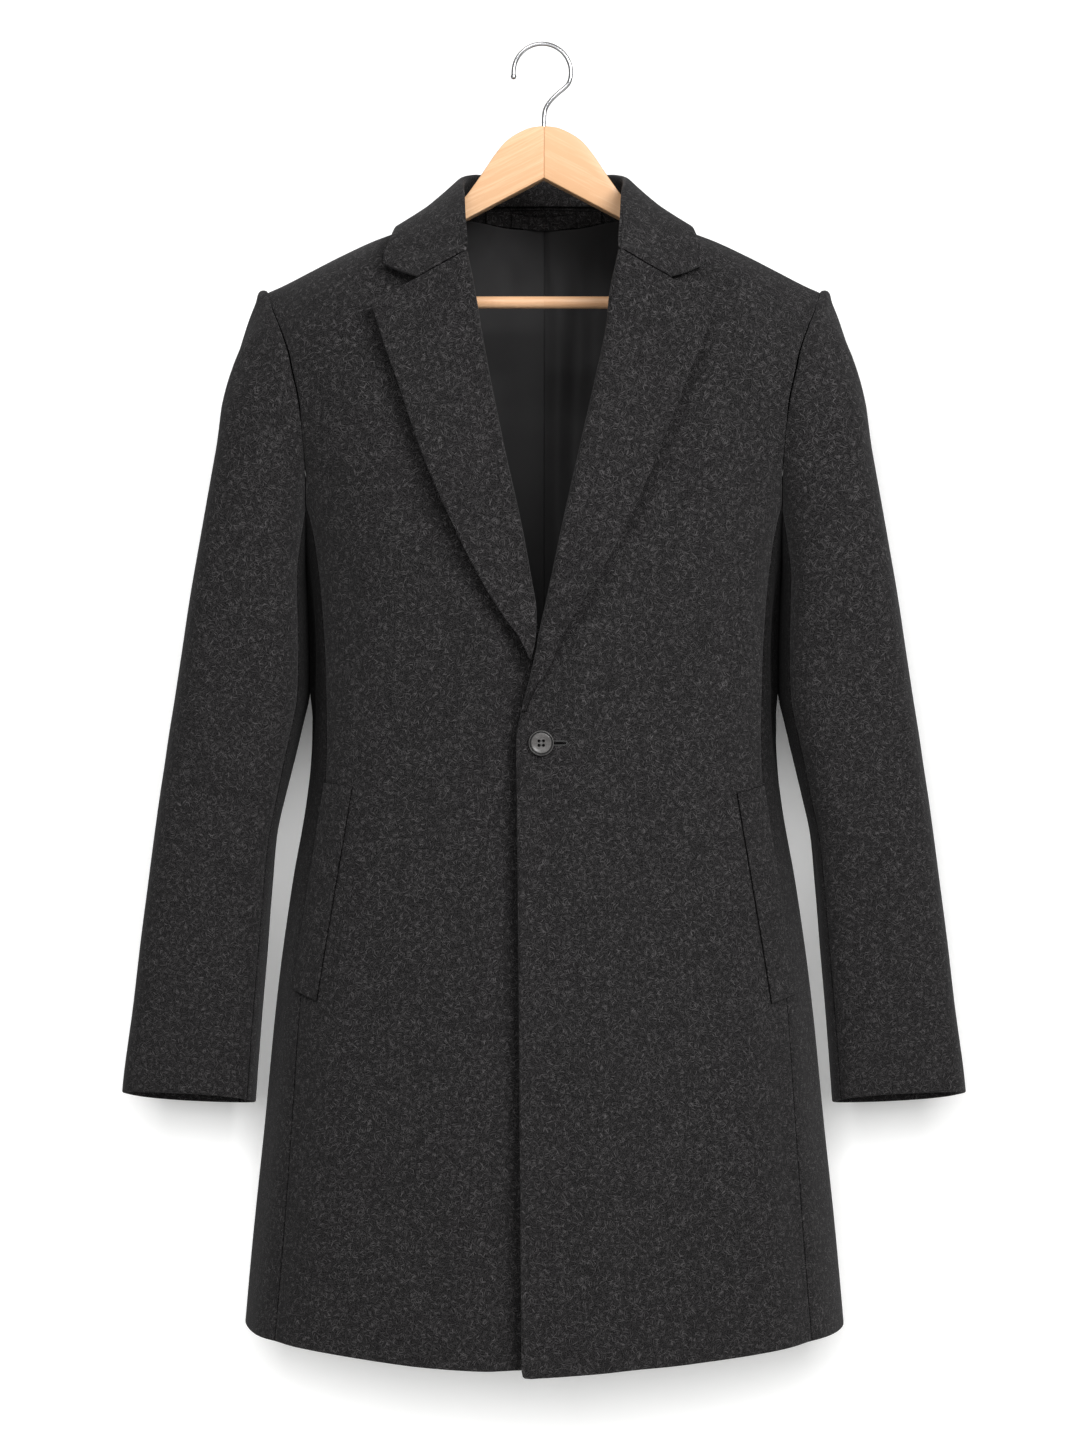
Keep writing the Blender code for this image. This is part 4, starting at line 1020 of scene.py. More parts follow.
def collar():
    count, ways = 61, np.linspace(-1, 1, 161)
    sections = {round(way, 6): even_steps(collar_section(way), count) for way in ways[80:]}
    grid = np.array([sections[round(abs(way), 6)] * (1 if way >= 0 else -1, 1, 1) for way in ways])
    for _ in range(5):
        grid[1:-1] = grid[1:-1] * 0.5 + (grid[:-2] + grid[2:]) * 0.25
    for _ in range(3):
        grid[:, 1:-1] = grid[:, 1:-1] * 0.5 + (grid[:, :-2] + grid[:, 2:]) * 0.25
    far = np.abs(ways)
    inner = (1 - ease(0.35, 0.75, np.linspace(0, 1, count))) * ease(0.40, 0.62, far)[:, None]
    inner = inner * (1 - ease(0.78, 0.88, far))[:, None]
    grid[..., 0] -= inner * (0.0010 + 0.0022 * np.sign(ways)[:, None])
    seat_on_lapels(grid, ways)
    normals = unit(np.cross(np.gradient(grid, axis=0), np.gradient(grid, axis=1)))

    def place(u, v):
        i, j = u * (len(ways) - 1), v * (count - 1)
        a, b = np.clip(i.astype(int), 0, len(ways) - 2), np.clip(j.astype(int), 0, count - 2)
        p, q = (i - a)[..., None], (j - b)[..., None]

        def mix(values):
            low = values[a, b] * (1 - p) + values[a + 1, b] * p
            high = values[a, b + 1] * (1 - p) + values[a + 1, b + 1] * p
            return low * (1 - q) + high * q
        return mix(grid), unit(mix(normals))
    return cloth("wool_collar", place, (200, 56),
                 {"left": FREE, "right": FREE, "bottom": FREE, "top": 0.0011},
                 corners={"right bottom": 0.006, "left bottom": 0.006}, turned=True)


pieces["collar"] = collar()

# %% [markdown]
# ## Pockets, neck facing, hanging loop and lining
#
# The pocket welts lie on the fronts and show only by their edges. Inside the
# neck a strip of coat cloth joins the collar to the lining, and a folded loop
# is sewn over it at both ends. The lining is cut wider than the coat, with a
# pleat down the middle, so its fullness hangs in soft upright folds.

# %% Welts, neck facing and loop
WELT_LIFT = 0.0021
BINDING = 0.0006         # rounding of a thin folded edge


def welt(side):
    corners = np.array(WELT[side])

    def place(u, v):
        across, down = u[..., None], v[..., None]
        top = corners[0] + (corners[1] - corners[0]) * across
        bottom = corners[3] + (corners[2] - corners[3]) * across
        spot = top + (bottom - top) * down
        turn = turn_at(spot[..., 0], spot[..., 1])
        return on_body(turn, drop_at(turn, spot[..., 1]), WELT_LIFT + 0 * u, side)
    return cloth("wool_welt", place, (12, 70),
                 {"left": BINDING, "right": 0.0010, "top": BINDING, "bottom": BINDING}, side, 0.0020)


def inside_back(x, z, inward):
    """A place this far inside the back's cloth, seen straight on, and its outward direction."""
    turn = 180 - turn_at(x, z)
    drop = drop_at(turn, z)
    normal = body_out(turn, drop)
    return body(turn, drop) - normal * inward[..., None], normal


def neck_facing():
    def place(u, v):
        x = (0.5 - u) * 0.104
        top = np.interp(np.abs(x), [0, 0.04, 0.06], [-0.1223, -0.1243, -0.1270])
        under = np.interp(np.abs(x), [0, 0.03, 0.052], [-0.1392, -0.1381, -0.1349])
        return inside_back(x, top + (under - top) * v, WOOL + 0.0015 + 0 * u)
    return cloth("wool_neck_facing", place, (60, 12), {"bottom": BINDING}, thickness=0.0014)


def hanging_loop():
    def place(u, v):
        bow = np.cos(math.pi * (u - 0.5))
        z = -0.1250 - 0.0118 * v - 0.0014 * bow
        return inside_back((0.5 - u) * 0.0586, z, WOOL + 0.0036 + (0.0030 + 0.0022 * v) * bow ** 2)
    return cloth("wool_hanging_loop", place, (40, 10),
                 {"left": 0.0005, "right": 0.0005, "top": 0.0008, "bottom": 0.0008}, thickness=0.0016)


# %% Lining
LINING_INSIDE = -WOOL - 0.0014
LINING_SHORT = 0.022     # the lining ends this far above the back's hem
LINING_EDGE = {"bottom": 0.0005}
PLEAT = 0.0026           # how far the upper half of the lining stands off the lower
PLEAT_PAST = {1: 0.75, -1: 0.10}     # degrees that each half reaches past the middle
LINING_FOLDS = {         # across, height, across, height, width, depth toward the viewer
    1: [(0.0300, -0.150, 0.0260, -0.430, 0.0095, -0.0034),
        (0.0130, -0.160, 0.0120, -0.600, 0.0110, 0.0020),
        (0.0450, -0.150, 0.0400, -0.400, 0.0100, 0.0020),
        (0.0520, -0.140, 0.0490, -0.180, 0.0030, -0.0010),
        (0.0220, -0.140, 0.0225, -0.165, 0.0030, -0.0006)],
    -1: [(0.0310, -0.150, 0.0300, -0.205, 0.0080, -0.0012),
         (0.0200, -0.160, 0.0160, -0.600, 0.0160, 0.0018),
         (0.0500, -0.140, 0.0480, -0.162, 0.0030, -0.0010),
         (0.0240, -0.138, 0.0245, -0.158, 0.0030, -0.0006)],
}


def lining_low(turn):
    return back_hem_drop(turn, LINING_SHORT)


def lining_back(side):
    def neck(turn):
        _, drop = back_neck_drop(turn, 0.03, [0, 0.03, 0.052, 0.064, 0.080, 0.100],
                                 [-0.1390, -0.1379, -0.1347, -0.1340, -0.1360, -0.1490])
        return np.maximum(drop, 0.0035)
    spot = panel(level(180 + PLEAT_PAST[side]), lambda z: back_side_edge(z) + 0.9, lining_low, neck)

    def place(u, v):
        turn, drop = spot(1 - u, v)
        point = body(turn, drop)
        x, z = point[..., 0], point[..., 2]
        toward = soft_lines(x, z, LINING_FOLDS[side], 1.0)
        pleat = PLEAT
        if side > 0:
            pleat = PLEAT * ease(0.0005, 0.0030 + 0.0110 * ease(-0.150, -0.230, z), x)
        fullness = 0.0014 * np.sin(x * 90 + side) * ease(-0.45, -0.75, z)
        room = ease(0.000, 0.012, drop)
        depth = LINING_INSIDE - np.maximum(0.0010 + (toward + pleat + fullness) * room, 0.0004)
        normal = body_out(turn, drop)
        return point + normal * (depth + body_creases(turn, z, side))[..., None], normal
    return cloth("satin_back", place, (110, 130), LINING_EDGE, side, SATIN)


def lining_side(side):
    spot = panel(lambda z: read(SIDE_SEAMS, z, "front") + 1.0,
                 lambda z: 180 - read(SIDE_SEAMS, z, "back") - HAIR - 0.25,
                 lining_low, lambda turn: underarm_drop(turn) + 0.003)

    def place(u, v):
        turn, drop = spot(u, v)
        ripple = 0.0010 * np.sin(np.radians(turn * 11))
        return on_body(turn, drop, LINING_INSIDE - 0.0012 - ripple, side)
    return cloth("satin_side", place, (40, 90), LINING_EDGE, side, SATIN)


make_pairs(pocket_welt=welt, lining_back=lining_back, lining_side=lining_side)
pieces["neck_facing"] = neck_facing()
pieces["hanging_loop"] = hanging_loop()

# %% [markdown]
# ## Button and buttonhole
#
# The button is turned from a disc: a round rim, a groove inside it, a shallow
# dish and four holes. It is modelled as on a lathe, by insetting the face of a
# cylinder ring after ring. The buttonhole is a slit with a close row of
# stitches along each lip, and each stitch is a short bar with round ends.


# %% Modelling helpers
def only(*chosen):
    """Select these objects and nothing else."""
    bpy.ops.object.select_all(action="DESELECT")
    for item in chosen:
        item.select_set(True)
    bpy.context.view_layer.objects.active = chosen[0]


def added(primitive, name, **sizes):
    """Add a primitive, leave its object at the origin and name it."""
    bpy.ops.object.select_all(action="DESELECT")
    primitive(**sizes)
    bpy.ops.object.transform_apply(location=True, rotation=True)
    bpy.context.object.name = bpy.context.object.data.name = name
    return bpy.context.object


def inset_faces(piece, test, rings):
    """Inset the faces for which test(face) is true, ring after ring."""
    bpy.ops.object.mode_set(mode="EDIT")
    bpy.ops.mesh.select_mode(type="FACE")
    bpy.ops.mesh.select_all(action="DESELECT")
    bm = bmesh.from_edit_mesh(piece.data)
    for face in bm.faces:
        face.select_set(bool(test(face)))
    bmesh.update_edit_mesh(piece.data)
    for thickness, depth in rings:
        bpy.ops.mesh.inset(thickness=thickness, depth=depth)
    bpy.ops.object.mode_set(mode="OBJECT")


def ease_edges(piece, width, segments, degrees):
    """Round the edges sharper than this."""
    soft = piece.modifiers.new("eased edges", "BEVEL")
    soft.width, soft.segments, soft.limit_method = width, segments, "ANGLE"
    soft.angle_limit = math.radians(degrees)


def apply_all(piece):
    only(piece)
    for modifier in list(piece.modifiers):
        bpy.ops.object.modifier_apply(modifier=modifier.name)


def joined(name, first, *others):
    only(first, *others)
    bpy.ops.object.join()
    first.name = first.data.name = name
    return first


# %% Button
BUTTON_RADIUS, BUTTON_THICK = 0.0101, 0.0024
BUTTON_RINGS = [          # thickness of each inset, and how far it rises
    (0.0002, 0.0007), (0.0003, 0.0003), (0.0004, 0.0000), (0.0002, -0.0010), (0.0008, 0.0000),
    (0.0002, 0.0009), (0.0005, 0.0001), (0.0008, -0.0003), (0.0014, -0.0003), (0.0018, -0.0002),
]
HOLE_RADIUS, HOLE_SPACING = 0.0013, 0.0017
BUTTON_PLACE = (-0.0022, -0.5782)
BUTTON_LIFT = 0.0009


def turned_button():
    disc = added(bpy.ops.mesh.primitive_cylinder_add, "four_hole_button", vertices=96,
                 radius=BUTTON_RADIUS, depth=BUTTON_THICK, location=(0, 0, BUTTON_THICK / 2))
    inset_faces(disc, lambda face: face.normal.z > 0.9, BUTTON_RINGS)
    inset_faces(disc, lambda face: face.normal.z < -0.9, [(0.0012, 0.0006)])
    ease_edges(disc, 0.00012, 2, 25)
    apply_all(disc)
    drills = [added(bpy.ops.mesh.primitive_cylinder_add, "drill", vertices=24, radius=HOLE_RADIUS,
                    depth=0.02, location=(x, y, 0))
              for x in (-HOLE_SPACING, HOLE_SPACING) for y in (-HOLE_SPACING, HOLE_SPACING)]
    for drill in drills:
        cut = disc.modifiers.new("hole", "BOOLEAN")
        cut.operation, cut.solver, cut.object = "DIFFERENCE", "EXACT", drill
    apply_all(disc)
    for drill in drills:
        bpy.data.objects.remove(drill)
    bpy.ops.object.shade_smooth_by_angle(angle=math.radians(35))
    return disc


def thread_bar(start, end, radius, name):
    """A short round thread with round ends."""
    bead = added(bpy.ops.mesh.primitive_uv_sphere_add, name, segments=10, ring_count=8, radius=1.0)
    start, end = Vector(start), Vector(end)
    span = end - start
    size = Matrix.Diagonal((radius, radius, span.length / 2 + radius * 0.5, 1))
    turn = span.to_track_quat("Z", "X").to_matrix().to_4x4()
    bead.data.transform(Matrix.Translation((start + end) / 2) @ turn @ size)
    bead.data.shade_smooth()
    return bead


def facing_place(x, z, out):
    """A matrix that stands something on the left front at this place."""
    turn = turn_at(np.array(x), z)
    point, normal = on_body(turn, drop_at(turn, z), np.array(out), 1)
    normal = Vector(normal)
    across = (Vector((1, 0, 0)) - normal * normal.x).normalized()
    axes = Matrix((across, normal.cross(across), normal)).transposed()
    return Matrix.Translation(Vector(point)) @ axes.to_4x4()


button_disc = turned_button()
threads = [thread_bar((-0.0008, y, BUTTON_THICK), (0.0008, y, BUTTON_THICK), 0.00030, "thread")
           for y in (-0.0020, -0.0014, 0.0014, 0.0020)]
shank = added(bpy.ops.mesh.primitive_cylinder_add, "shank", vertices=20, radius=0.0022, depth=0.0012,
              location=(0, 0, -0.0003))
button_thread = joined("button_thread", *threads, shank)
button_seat = facing_place(*BUTTON_PLACE, OVERLAP_LIFT + BUTTON_LIFT)
for part in (button_disc, button_thread):
    part.data.transform(button_seat)
print("button", [round(v, 4) for v in button_disc.dimensions], "m")

# %% Buttonhole
SLIT_FROM, SLIT_TO = 0.0060, 0.0192
STITCH_STEP, STITCH_RADIUS, SLIT_RADIUS = 0.00062, 0.00032, 0.00125
END_STITCHES = range(-75, 76, 25)        # degrees round the slit's end


def buttonhole():
    """Stitches over both lips of the slit and round its end, with a near-black core that stands for the
    shade inside the slit.
    """
    stitches = []
    for lip in (-1, 1):
        for number in range(int((SLIT_TO - SLIT_FROM) / STITCH_STEP)):
            x = SLIT_FROM + number * STITCH_STEP
            wobble = 0.00012 * math.sin(number * 2.1 + lip)
            stitches.append(((x, lip * 0.00110, 0.0002), (x + 0.0001, lip * (0.0022 + wobble), 0.0001)))
    for degrees in END_STITCHES:
        c, s = math.cos(math.radians(degrees)), math.sin(math.radians(degrees))
        stitches.append(((SLIT_TO + 0.0009 * c, 0.0009 * s, 0.0002),
                         (SLIT_TO + 0.0021 * c, 0.0021 * s, 0.0001)))
    made = [thread_bar(start, end, STITCH_RADIUS, "stitch") for start, end in stitches]
    rows = joined("buttonhole_stitches", *made)
    # painted shade: a near-black bar fills the slit, where there is only shade
    core = thread_bar((SLIT_FROM, 0, -0.0003), (SLIT_TO, 0, -0.0003), SLIT_RADIUS, "buttonhole_slit")
    seat = facing_place(*BUTTON_PLACE, OVERLAP_LIFT)
    for part in (rows, core):
        part.data.transform(seat)
    return rows, core


buttonhole_stitches, buttonhole_slit = buttonhole()
print("buttonhole", len(buttonhole_stitches.data.polygons), "faces")

# %% [markdown]
# ## Hanger
#
# The hanger is two arms sawn from flat board and glued end to end, a turned
# trouser bar and a bent steel wire. One arm starts as a flat grid whose long
# rows are spread between the saw lines above and below; Solidify gives it the
# board's thickness, Bevel rounds it as a spindle moulder would, and Mirror
# makes the other arm. The fine groove between them is the glue line.

# %% Wooden arms
HANGER_TOP = table("across height", [
    (0.0000, -0.0680), (0.0100, -0.0692), (0.0197, -0.0730), (0.0306, -0.0800),
    (0.0410, -0.0922), (0.0479, -0.1025), (0.0576, -0.1165), (0.0660, -0.1275),
    (0.0800, -0.1400), (0.1050, -0.1574), (0.1310, -0.1683), (0.1600, -0.1792),
    (0.1850, -0.1915), (0.2000, -0.1990),
])
UNDER_MIDDLE, UNDER_SLOPE, UNDER_LOWEST = -0.1110, 0.526, -0.2215
ARM_DEPTH = 0.0080       # half the board's thickness
ARM_END, ARM_TIP = 0.2036, 0.010     # the arm's end, and the length that its tip is rounded over
GLUE_LINE = 0.00002


def wooden_arms():
    board = added(bpy.ops.mesh.primitive_grid_add, "beech_arms", x_subdivisions=150,
                  y_subdivisions=3, size=1.0, location=(0, 0, 0))
    for vert in board.data.vertices:
        x = (vert.co.x + 0.5) ** 1.1 * ARM_END
        top = float(read(HANGER_TOP, x, "height"))
        under = max(UNDER_MIDDLE - UNDER_SLOPE * x, UNDER_LOWEST)
        past = max(0.0, (x - ARM_END + ARM_TIP) / 0.0101)
        tall = 0.35 + 0.65 * math.sqrt(max(0.0, 1 - past ** 2))
        vert.co = (x + GLUE_LINE, 0, (top + under) / 2 + (top - under) * vert.co.y * tall)
    thick = board.modifiers.new("board", "SOLIDIFY")
    thick.thickness, thick.offset = 2 * ARM_DEPTH, 0
    other = board.modifiers.new("other arm", "MIRROR")
    other.use_mirror_merge = False
    ease_edges(board, 0.0011, 3, 40)
    apply_all(board)
    bpy.ops.object.mode_set(mode="EDIT")
    bpy.ops.mesh.select_all(action="SELECT")
    bpy.ops.mesh.normals_make_consistent(inside=False)
    bpy.ops.object.mode_set(mode="OBJECT")
    bpy.ops.object.shade_smooth_by_angle(angle=math.radians(32))
    return board


arms = wooden_arms()
print("arms", [round(v, 3) for v in arms.dimensions], "m")

# %% Trouser bar and hook
BAR_RADIUS, BAR_HEIGHT, BAR_END = 0.0051, -0.2132, 0.1785
HOOK_WIRE, HOOK_ARCH, BALL_RADIUS = 0.00175, 0.0240, 0.0024      # radii
HOOK_STEM = [             # across and height, up to where the arch starts
    (0.0, -0.0690), (0.0, -0.0640), (0.0, -0.0600), (0.0003, -0.0545), (0.0032, -0.0478),
    (0.0112, -0.0396),
]


def trouser_bar():
    rod = added(bpy.ops.mesh.primitive_cylinder_add, "beech_bar", vertices=48, radius=BAR_RADIUS,
                depth=2 * BAR_END, location=(0, 0, BAR_HEIGHT), rotation=(0, math.pi / 2, 0))
    inset_faces(rod, lambda face: abs(face.normal.x) > 0.9, [(0.0012, 0.0)])
    ease_edges(rod, 0.0006, 3, 30)
    apply_all(rod)
    bpy.ops.object.shade_smooth_by_angle(angle=math.radians(30))
    return rod


def steel_hook():
    """Bent wire: a straight stem, an easy bend, most of a circle, and a ball."""
    arch = [(HOOK_ARCH * math.cos(math.radians(degrees)) - 0.0015,
             HOOK_ARCH * math.sin(math.radians(degrees)) + HOOK_WIRE - HOOK_ARCH)
            for degrees in range(-28, 200, 12)]
    line = HOOK_STEM + arch
    curve = bpy.data.curves.new("steel_hook", "CURVE")
    curve.dimensions, curve.bevel_depth, curve.bevel_resolution = "3D", HOOK_WIRE, 5
    curve.resolution_u, curve.use_fill_caps = 8, True
    spline = curve.splines.new("NURBS")
    spline.points.add(len(line) - 1)
    for point, (x, z) in zip(spline.points, line):
        point.co = (x, 0, z, 1)
    spline.order_u, spline.use_endpoint_u = 4, True
    wire = bpy.data.objects.new("steel_hook", curve)
    bpy.context.scene.collection.objects.link(wire)
    only(wire)
    bpy.ops.object.convert(target="MESH")
    wire = bpy.context.object
    ball = added(bpy.ops.mesh.primitive_uv_sphere_add, "ball", segments=32, ring_count=20,
                 radius=BALL_RADIUS, location=(line[-1][0], 0, line[-1][1]))
    joined("steel_hook", wire, ball).data.shade_smooth()
    return wire


bar, hook = trouser_bar(), steel_hook()
print("bar", round(bar.dimensions.x, 3), "m, hook", round(hook.dimensions.z, 3), "m high")

# %% [markdown]
# ## Wool
#
# The cloth is a milled melange: dark fibres with a few light ones, brushed
# into a short nap, so what shows is not a weave but thousands of short curled
# strokes. An even noise would look like stone. Instead each stroke is a
# stretched cell of a Voronoi pattern, at several angles, on cloth coordinates
# that a slow noise has bent, which gives the curls. The same strokes raise the
# surface a little.


# %% Node helpers
def connect(tree, value, socket):
    """Link a socket to this input, or set the input to a plain value."""
    if hasattr(value, "links"):
        tree.links.new(value, socket)
    else:
        socket.default_value = value


def node(tree, kind, values=None, **settings):
    """Add a node, set what it is, and link or set its inputs by name or number."""
    made = tree.nodes.new("ShaderNode" + kind)
    for key, value in settings.items():
        setattr(made, key, value)
    for key, value in (values or {}).items():
        connect(tree, value, made.inputs[key])
    return made


def maths(tree, operation, *values):
    return node(tree, "Math", dict(enumerate(values)), operation=operation).outputs[0]


def vector(tree, operation, *values):
    return node(tree, "VectorMath", dict(enumerate(values)), operation=operation).outputs[0]


def scaled(tree, colour, amount):
    return node(tree, "VectorMath", {0: colour, "Scale": amount}, operation="SCALE").outputs[0]


def ranged(tree, value, low, high, start=0.0, end=1.0, **settings):
    """low where the value is start, high where it is end."""
    return node(tree, "MapRange", {"Value": value, "From Min": start, "From Max": end,
                                   "To Min": low, "To Max": high}, **settings).outputs[0]


def step_down(tree, value, start, end):
    """1 below start, 0 above end, and an even curve between."""
    return ranged(tree, value, 1.0, 0.0, start, end, interpolation_type="SMOOTHSTEP")


def noise(tree, place, scale, detail=2.0, roughness=0.5, flat=False, output="Fac"):
    values = {"Vector": place, "Scale": scale, "Detail": detail, "Roughness": roughness}
    return node(tree, "TexNoise", values, noise_dimensions="2D" if flat else "3D").outputs[output]


def blend(tree, factor, a, b):
    return node(tree, "Mix", {0: factor, 6: a, 7: b}, data_type="RGBA").outputs[2]


def object_place(tree):
    return node(tree, "TexCoord").outputs["Object"]


def pattern_group(name, *inputs):
    """A node group with these inputs that gives Color, Roughness and Height."""
    tree = bpy.data.node_groups.new(name, "ShaderNodeTree")
    for label, kind, value in inputs:
        socket = tree.interface.new_socket(label, in_out="INPUT", socket_type="NodeSocket" + kind)
        if value is not None:
            socket.default_value = value
    for label, kind in (("Color", "Color"), ("Roughness", "Float"), ("Height", "Float")):
        tree.interface.new_socket(label, in_out="OUTPUT", socket_type="NodeSocket" + kind)
    return tree, tree.nodes.new("NodeGroupInput").outputs


def give(tree, colour, roughness, height):
    """Send a pattern's three results out of its group."""
    results = tree.nodes.new("NodeGroupOutput").inputs
    for label, value in (("Color", colour), ("Roughness", roughness), ("Height", height)):
        tree.links.new(value, results[label])
    print(tree.name, "has", len(tree.nodes), "nodes")
    return tree


# %% Wool pattern
STROKES = [               # degrees, length and width in metres, share of cells that show
    (9, 0.0058, 0.00050, 0.13), (47, 0.0066, 0.00052, 0.13), (86, 0.0056, 0.00050, 0.13),
    (124, 0.0068, 0.00052, 0.13), (160, 0.0058, 0.00050, 0.13),
]
# painted shadows: dark strokes that stand for the shade beside raised fibres, also sunk into the relief
SHADOW_STROKES = [(28, 0.0050, 0.00080, 0.40), (105, 0.0050, 0.00080, 0.40)]
CURL = 0.0036            # metres that a stroke may be bent


def fibre_layer(tree, place, angle, length, width, share):
    """Short strokes at one angle, some lighter than others."""
    turned = node(tree, "VectorRotate", {"Vector": place, "Angle": math.radians(angle)},
                  rotation_type="Z_AXIS").outputs[0]
    cells = node(tree, "TexVoronoi", {
        "Vector": vector(tree, "MULTIPLY", turned, (1 / length, 1 / width, 1.0)),
        "Scale": 1.0, "Randomness": 1.0}, voronoi_dimensions="2D", feature="F1")
    parts = node(tree, "SeparateColor", {"Color": cells.outputs["Color"]})
    there = maths(tree, "LESS_THAN", parts.outputs[0], share)
    stroke = step_down(tree, cells.outputs["Distance"], 0.22, 0.42)
    light = maths(tree, "MULTIPLY_ADD", maths(tree, "POWER", parts.outputs[1], 2.0), 0.8, 0.2)
    return maths(tree, "MULTIPLY", maths(tree, "MULTIPLY", stroke, there), light)


def layered(tree, place, rows):
    """The strongest stroke at each place, out of several layers."""
    total = fibre_layer(tree, place, *rows[0])
    for row in rows[1:]:
        total = maths(tree, "MAXIMUM", total, fibre_layer(tree, place, *row))
    return total


def wool_pattern():
    tree, ins = pattern_group(
        "melange_nap", ("Cloth", "Vector", None), ("Ground", "Color", (0.0145, 0.0137, 0.0141, 1)),
        ("Fibre", "Color", (0.122, 0.116, 0.118, 1)), ("Amount", "Float", 1.0), ("Groove", "Float", 0.0))
    place = ins["Cloth"]
    slow = noise(tree, place, 130.0, 1.0, flat=True, output="Color")
    bend = vector(tree, "ADD", slow, (-0.5, -0.5, -0.5))
    bent = vector(tree, "MULTIPLY_ADD", bend, (CURL, CURL, 0.0), place)
    strokes, shadow_strokes = layered(tree, bent, STROKES), layered(tree, bent, SHADOW_STROKES)
    mottle = noise(tree, place, 90.0, 3.0, 0.6, flat=True)
    tufts = node(tree, "TexVoronoi", {"Vector": place, "Scale": 900.0, "Randomness": 0.75},
                 voronoi_dimensions="2D", feature="F1")
    nap = step_down(tree, tufts.outputs["Distance"], 0.12, 0.72)
    dark = ranged(tree, mottle, 0.94, 1.06, 0.32, 0.68)
    # the painted shadow of the fibres darkens the ground
    painted_shadow = maths(tree, "MULTIPLY_ADD", shadow_strokes, -0.6, 1.0)
    tone = maths(tree, "MULTIPLY", maths(tree, "MULTIPLY", dark, ranged(tree, nap, 0.20, 1.80)), painted_shadow)
    factor = maths(tree, "MULTIPLY", maths(tree, "MULTIPLY", strokes, ins["Amount"]), dark)
    mixed = blend(tree, factor, scaled(tree, ins["Ground"], tone), ins["Fibre"])
    height = maths(tree, "MULTIPLY_ADD", nap, 0.7, maths(tree, "SUBTRACT", strokes, shadow_strokes))
    # painted shade: the colour falls to 4 % of itself where the shade attribute is full
    return give(tree, scaled(tree, mixed, ranged(tree, ins["Groove"], 1.0, 0.04)),
                ranged(tree, nap, 0.82, 0.98), height)


# %% Materials from a pattern
def new_material(name):
    material = bpy.data.materials.new(name)
    material.use_nodes = True
    return material, material.node_tree, material.node_tree.nodes["Principled BSDF"]


def patterned(name, pattern, relief, depth, sockets, on_cloth=False, **values):
    """A material whose colour, roughness and relief come from one pattern group."""
    material, tree, shader = new_material(name)
    used = tree.nodes.new("ShaderNodeGroup")
    used.node_tree = pattern
    place = node(tree, "UVMap", uv_map="cloth").outputs[0] if on_cloth else object_place(tree)
    tree.links.new(place, used.inputs[0])
    for label, value in values.items():
        used.inputs[label].default_value = value
    bump = node(tree, "Bump", {"Strength": relief, "Distance": depth, "Height": used.outputs["Height"]})
    for label, value in {"Base Color": used.outputs["Color"], "Roughness": used.outputs["Roughness"],
                         "Normal": bump.outputs[0], **sockets}.items():
        connect(tree, value, shader.inputs[label])
    return material


# sheen and shine of the wool, which painted shade takes down to nothing in the grooves and between sleeve
# and body
WOOL_SHINE = 0.12        # outside the grooves, where it falls to nothing
wool = patterned("charcoal wool", wool_pattern(), 0.4, 0.0003, {
    "Sheen Weight": WOOL_SHINE, "Sheen Roughness": 0.5, "Sheen Tint": (0.75, 0.74, 0.75, 1),
    "Specular IOR Level": WOOL_SHINE}, on_cloth=True, Amount=0.80)
wool_nodes = wool.node_tree
painted_shade = node(wool_nodes, "Attribute", attribute_name="groove").outputs["Fac"]
wool_nodes.links.new(painted_shade, wool_nodes.nodes["Group"].inputs["Groove"])
# painted shade also takes away the sheen and the shine
for label in ("Sheen Weight", "Specular IOR Level"):
    wool_nodes.links.new(ranged(wool_nodes, painted_shade, WOOL_SHINE, 0.0),
                         wool_nodes.nodes["Principled BSDF"].inputs[label])

# %% [markdown]
# ## Lining, horn, thread, wood and steel
#
# Satin shows long soft highlights and, close by, its fine slanted twill. The button is clouded like horn.
# Beech has a straight grain that follows each arm, short darker flecks, and a lighter tone on the narrow
# top and bottom of each arm than on its broad faces.
# The hook is drawn steel wire with faint lines along it.


# %% Other patterns
def satin_pattern():
    tree, ins = pattern_group("satin_twill", ("Cloth", "Vector", None),
                              ("Ground", "Color", (0.037, 0.0362, 0.037, 1)))
    place = ins["Cloth"]
    twill = node(tree, "TexWave", {"Vector": place, "Scale": 380.0, "Distortion": 0.6, "Detail": 1.0},
                 wave_type="BANDS", bands_direction="DIAGONAL").outputs["Fac"]
    slow = noise(tree, place, 22.0, 3.0, flat=True)
    tone = maths(tree, "MULTIPLY", ranged(tree, slow, 0.8, 1.2), ranged(tree, twill, 0.9, 1.1))
    return give(tree, scaled(tree, ins["Ground"], tone), ranged(tree, slow, 0.44, 0.58),
                maths(tree, "MULTIPLY_ADD", twill, 0.3, maths(tree, "MULTIPLY", slow, 0.7)))


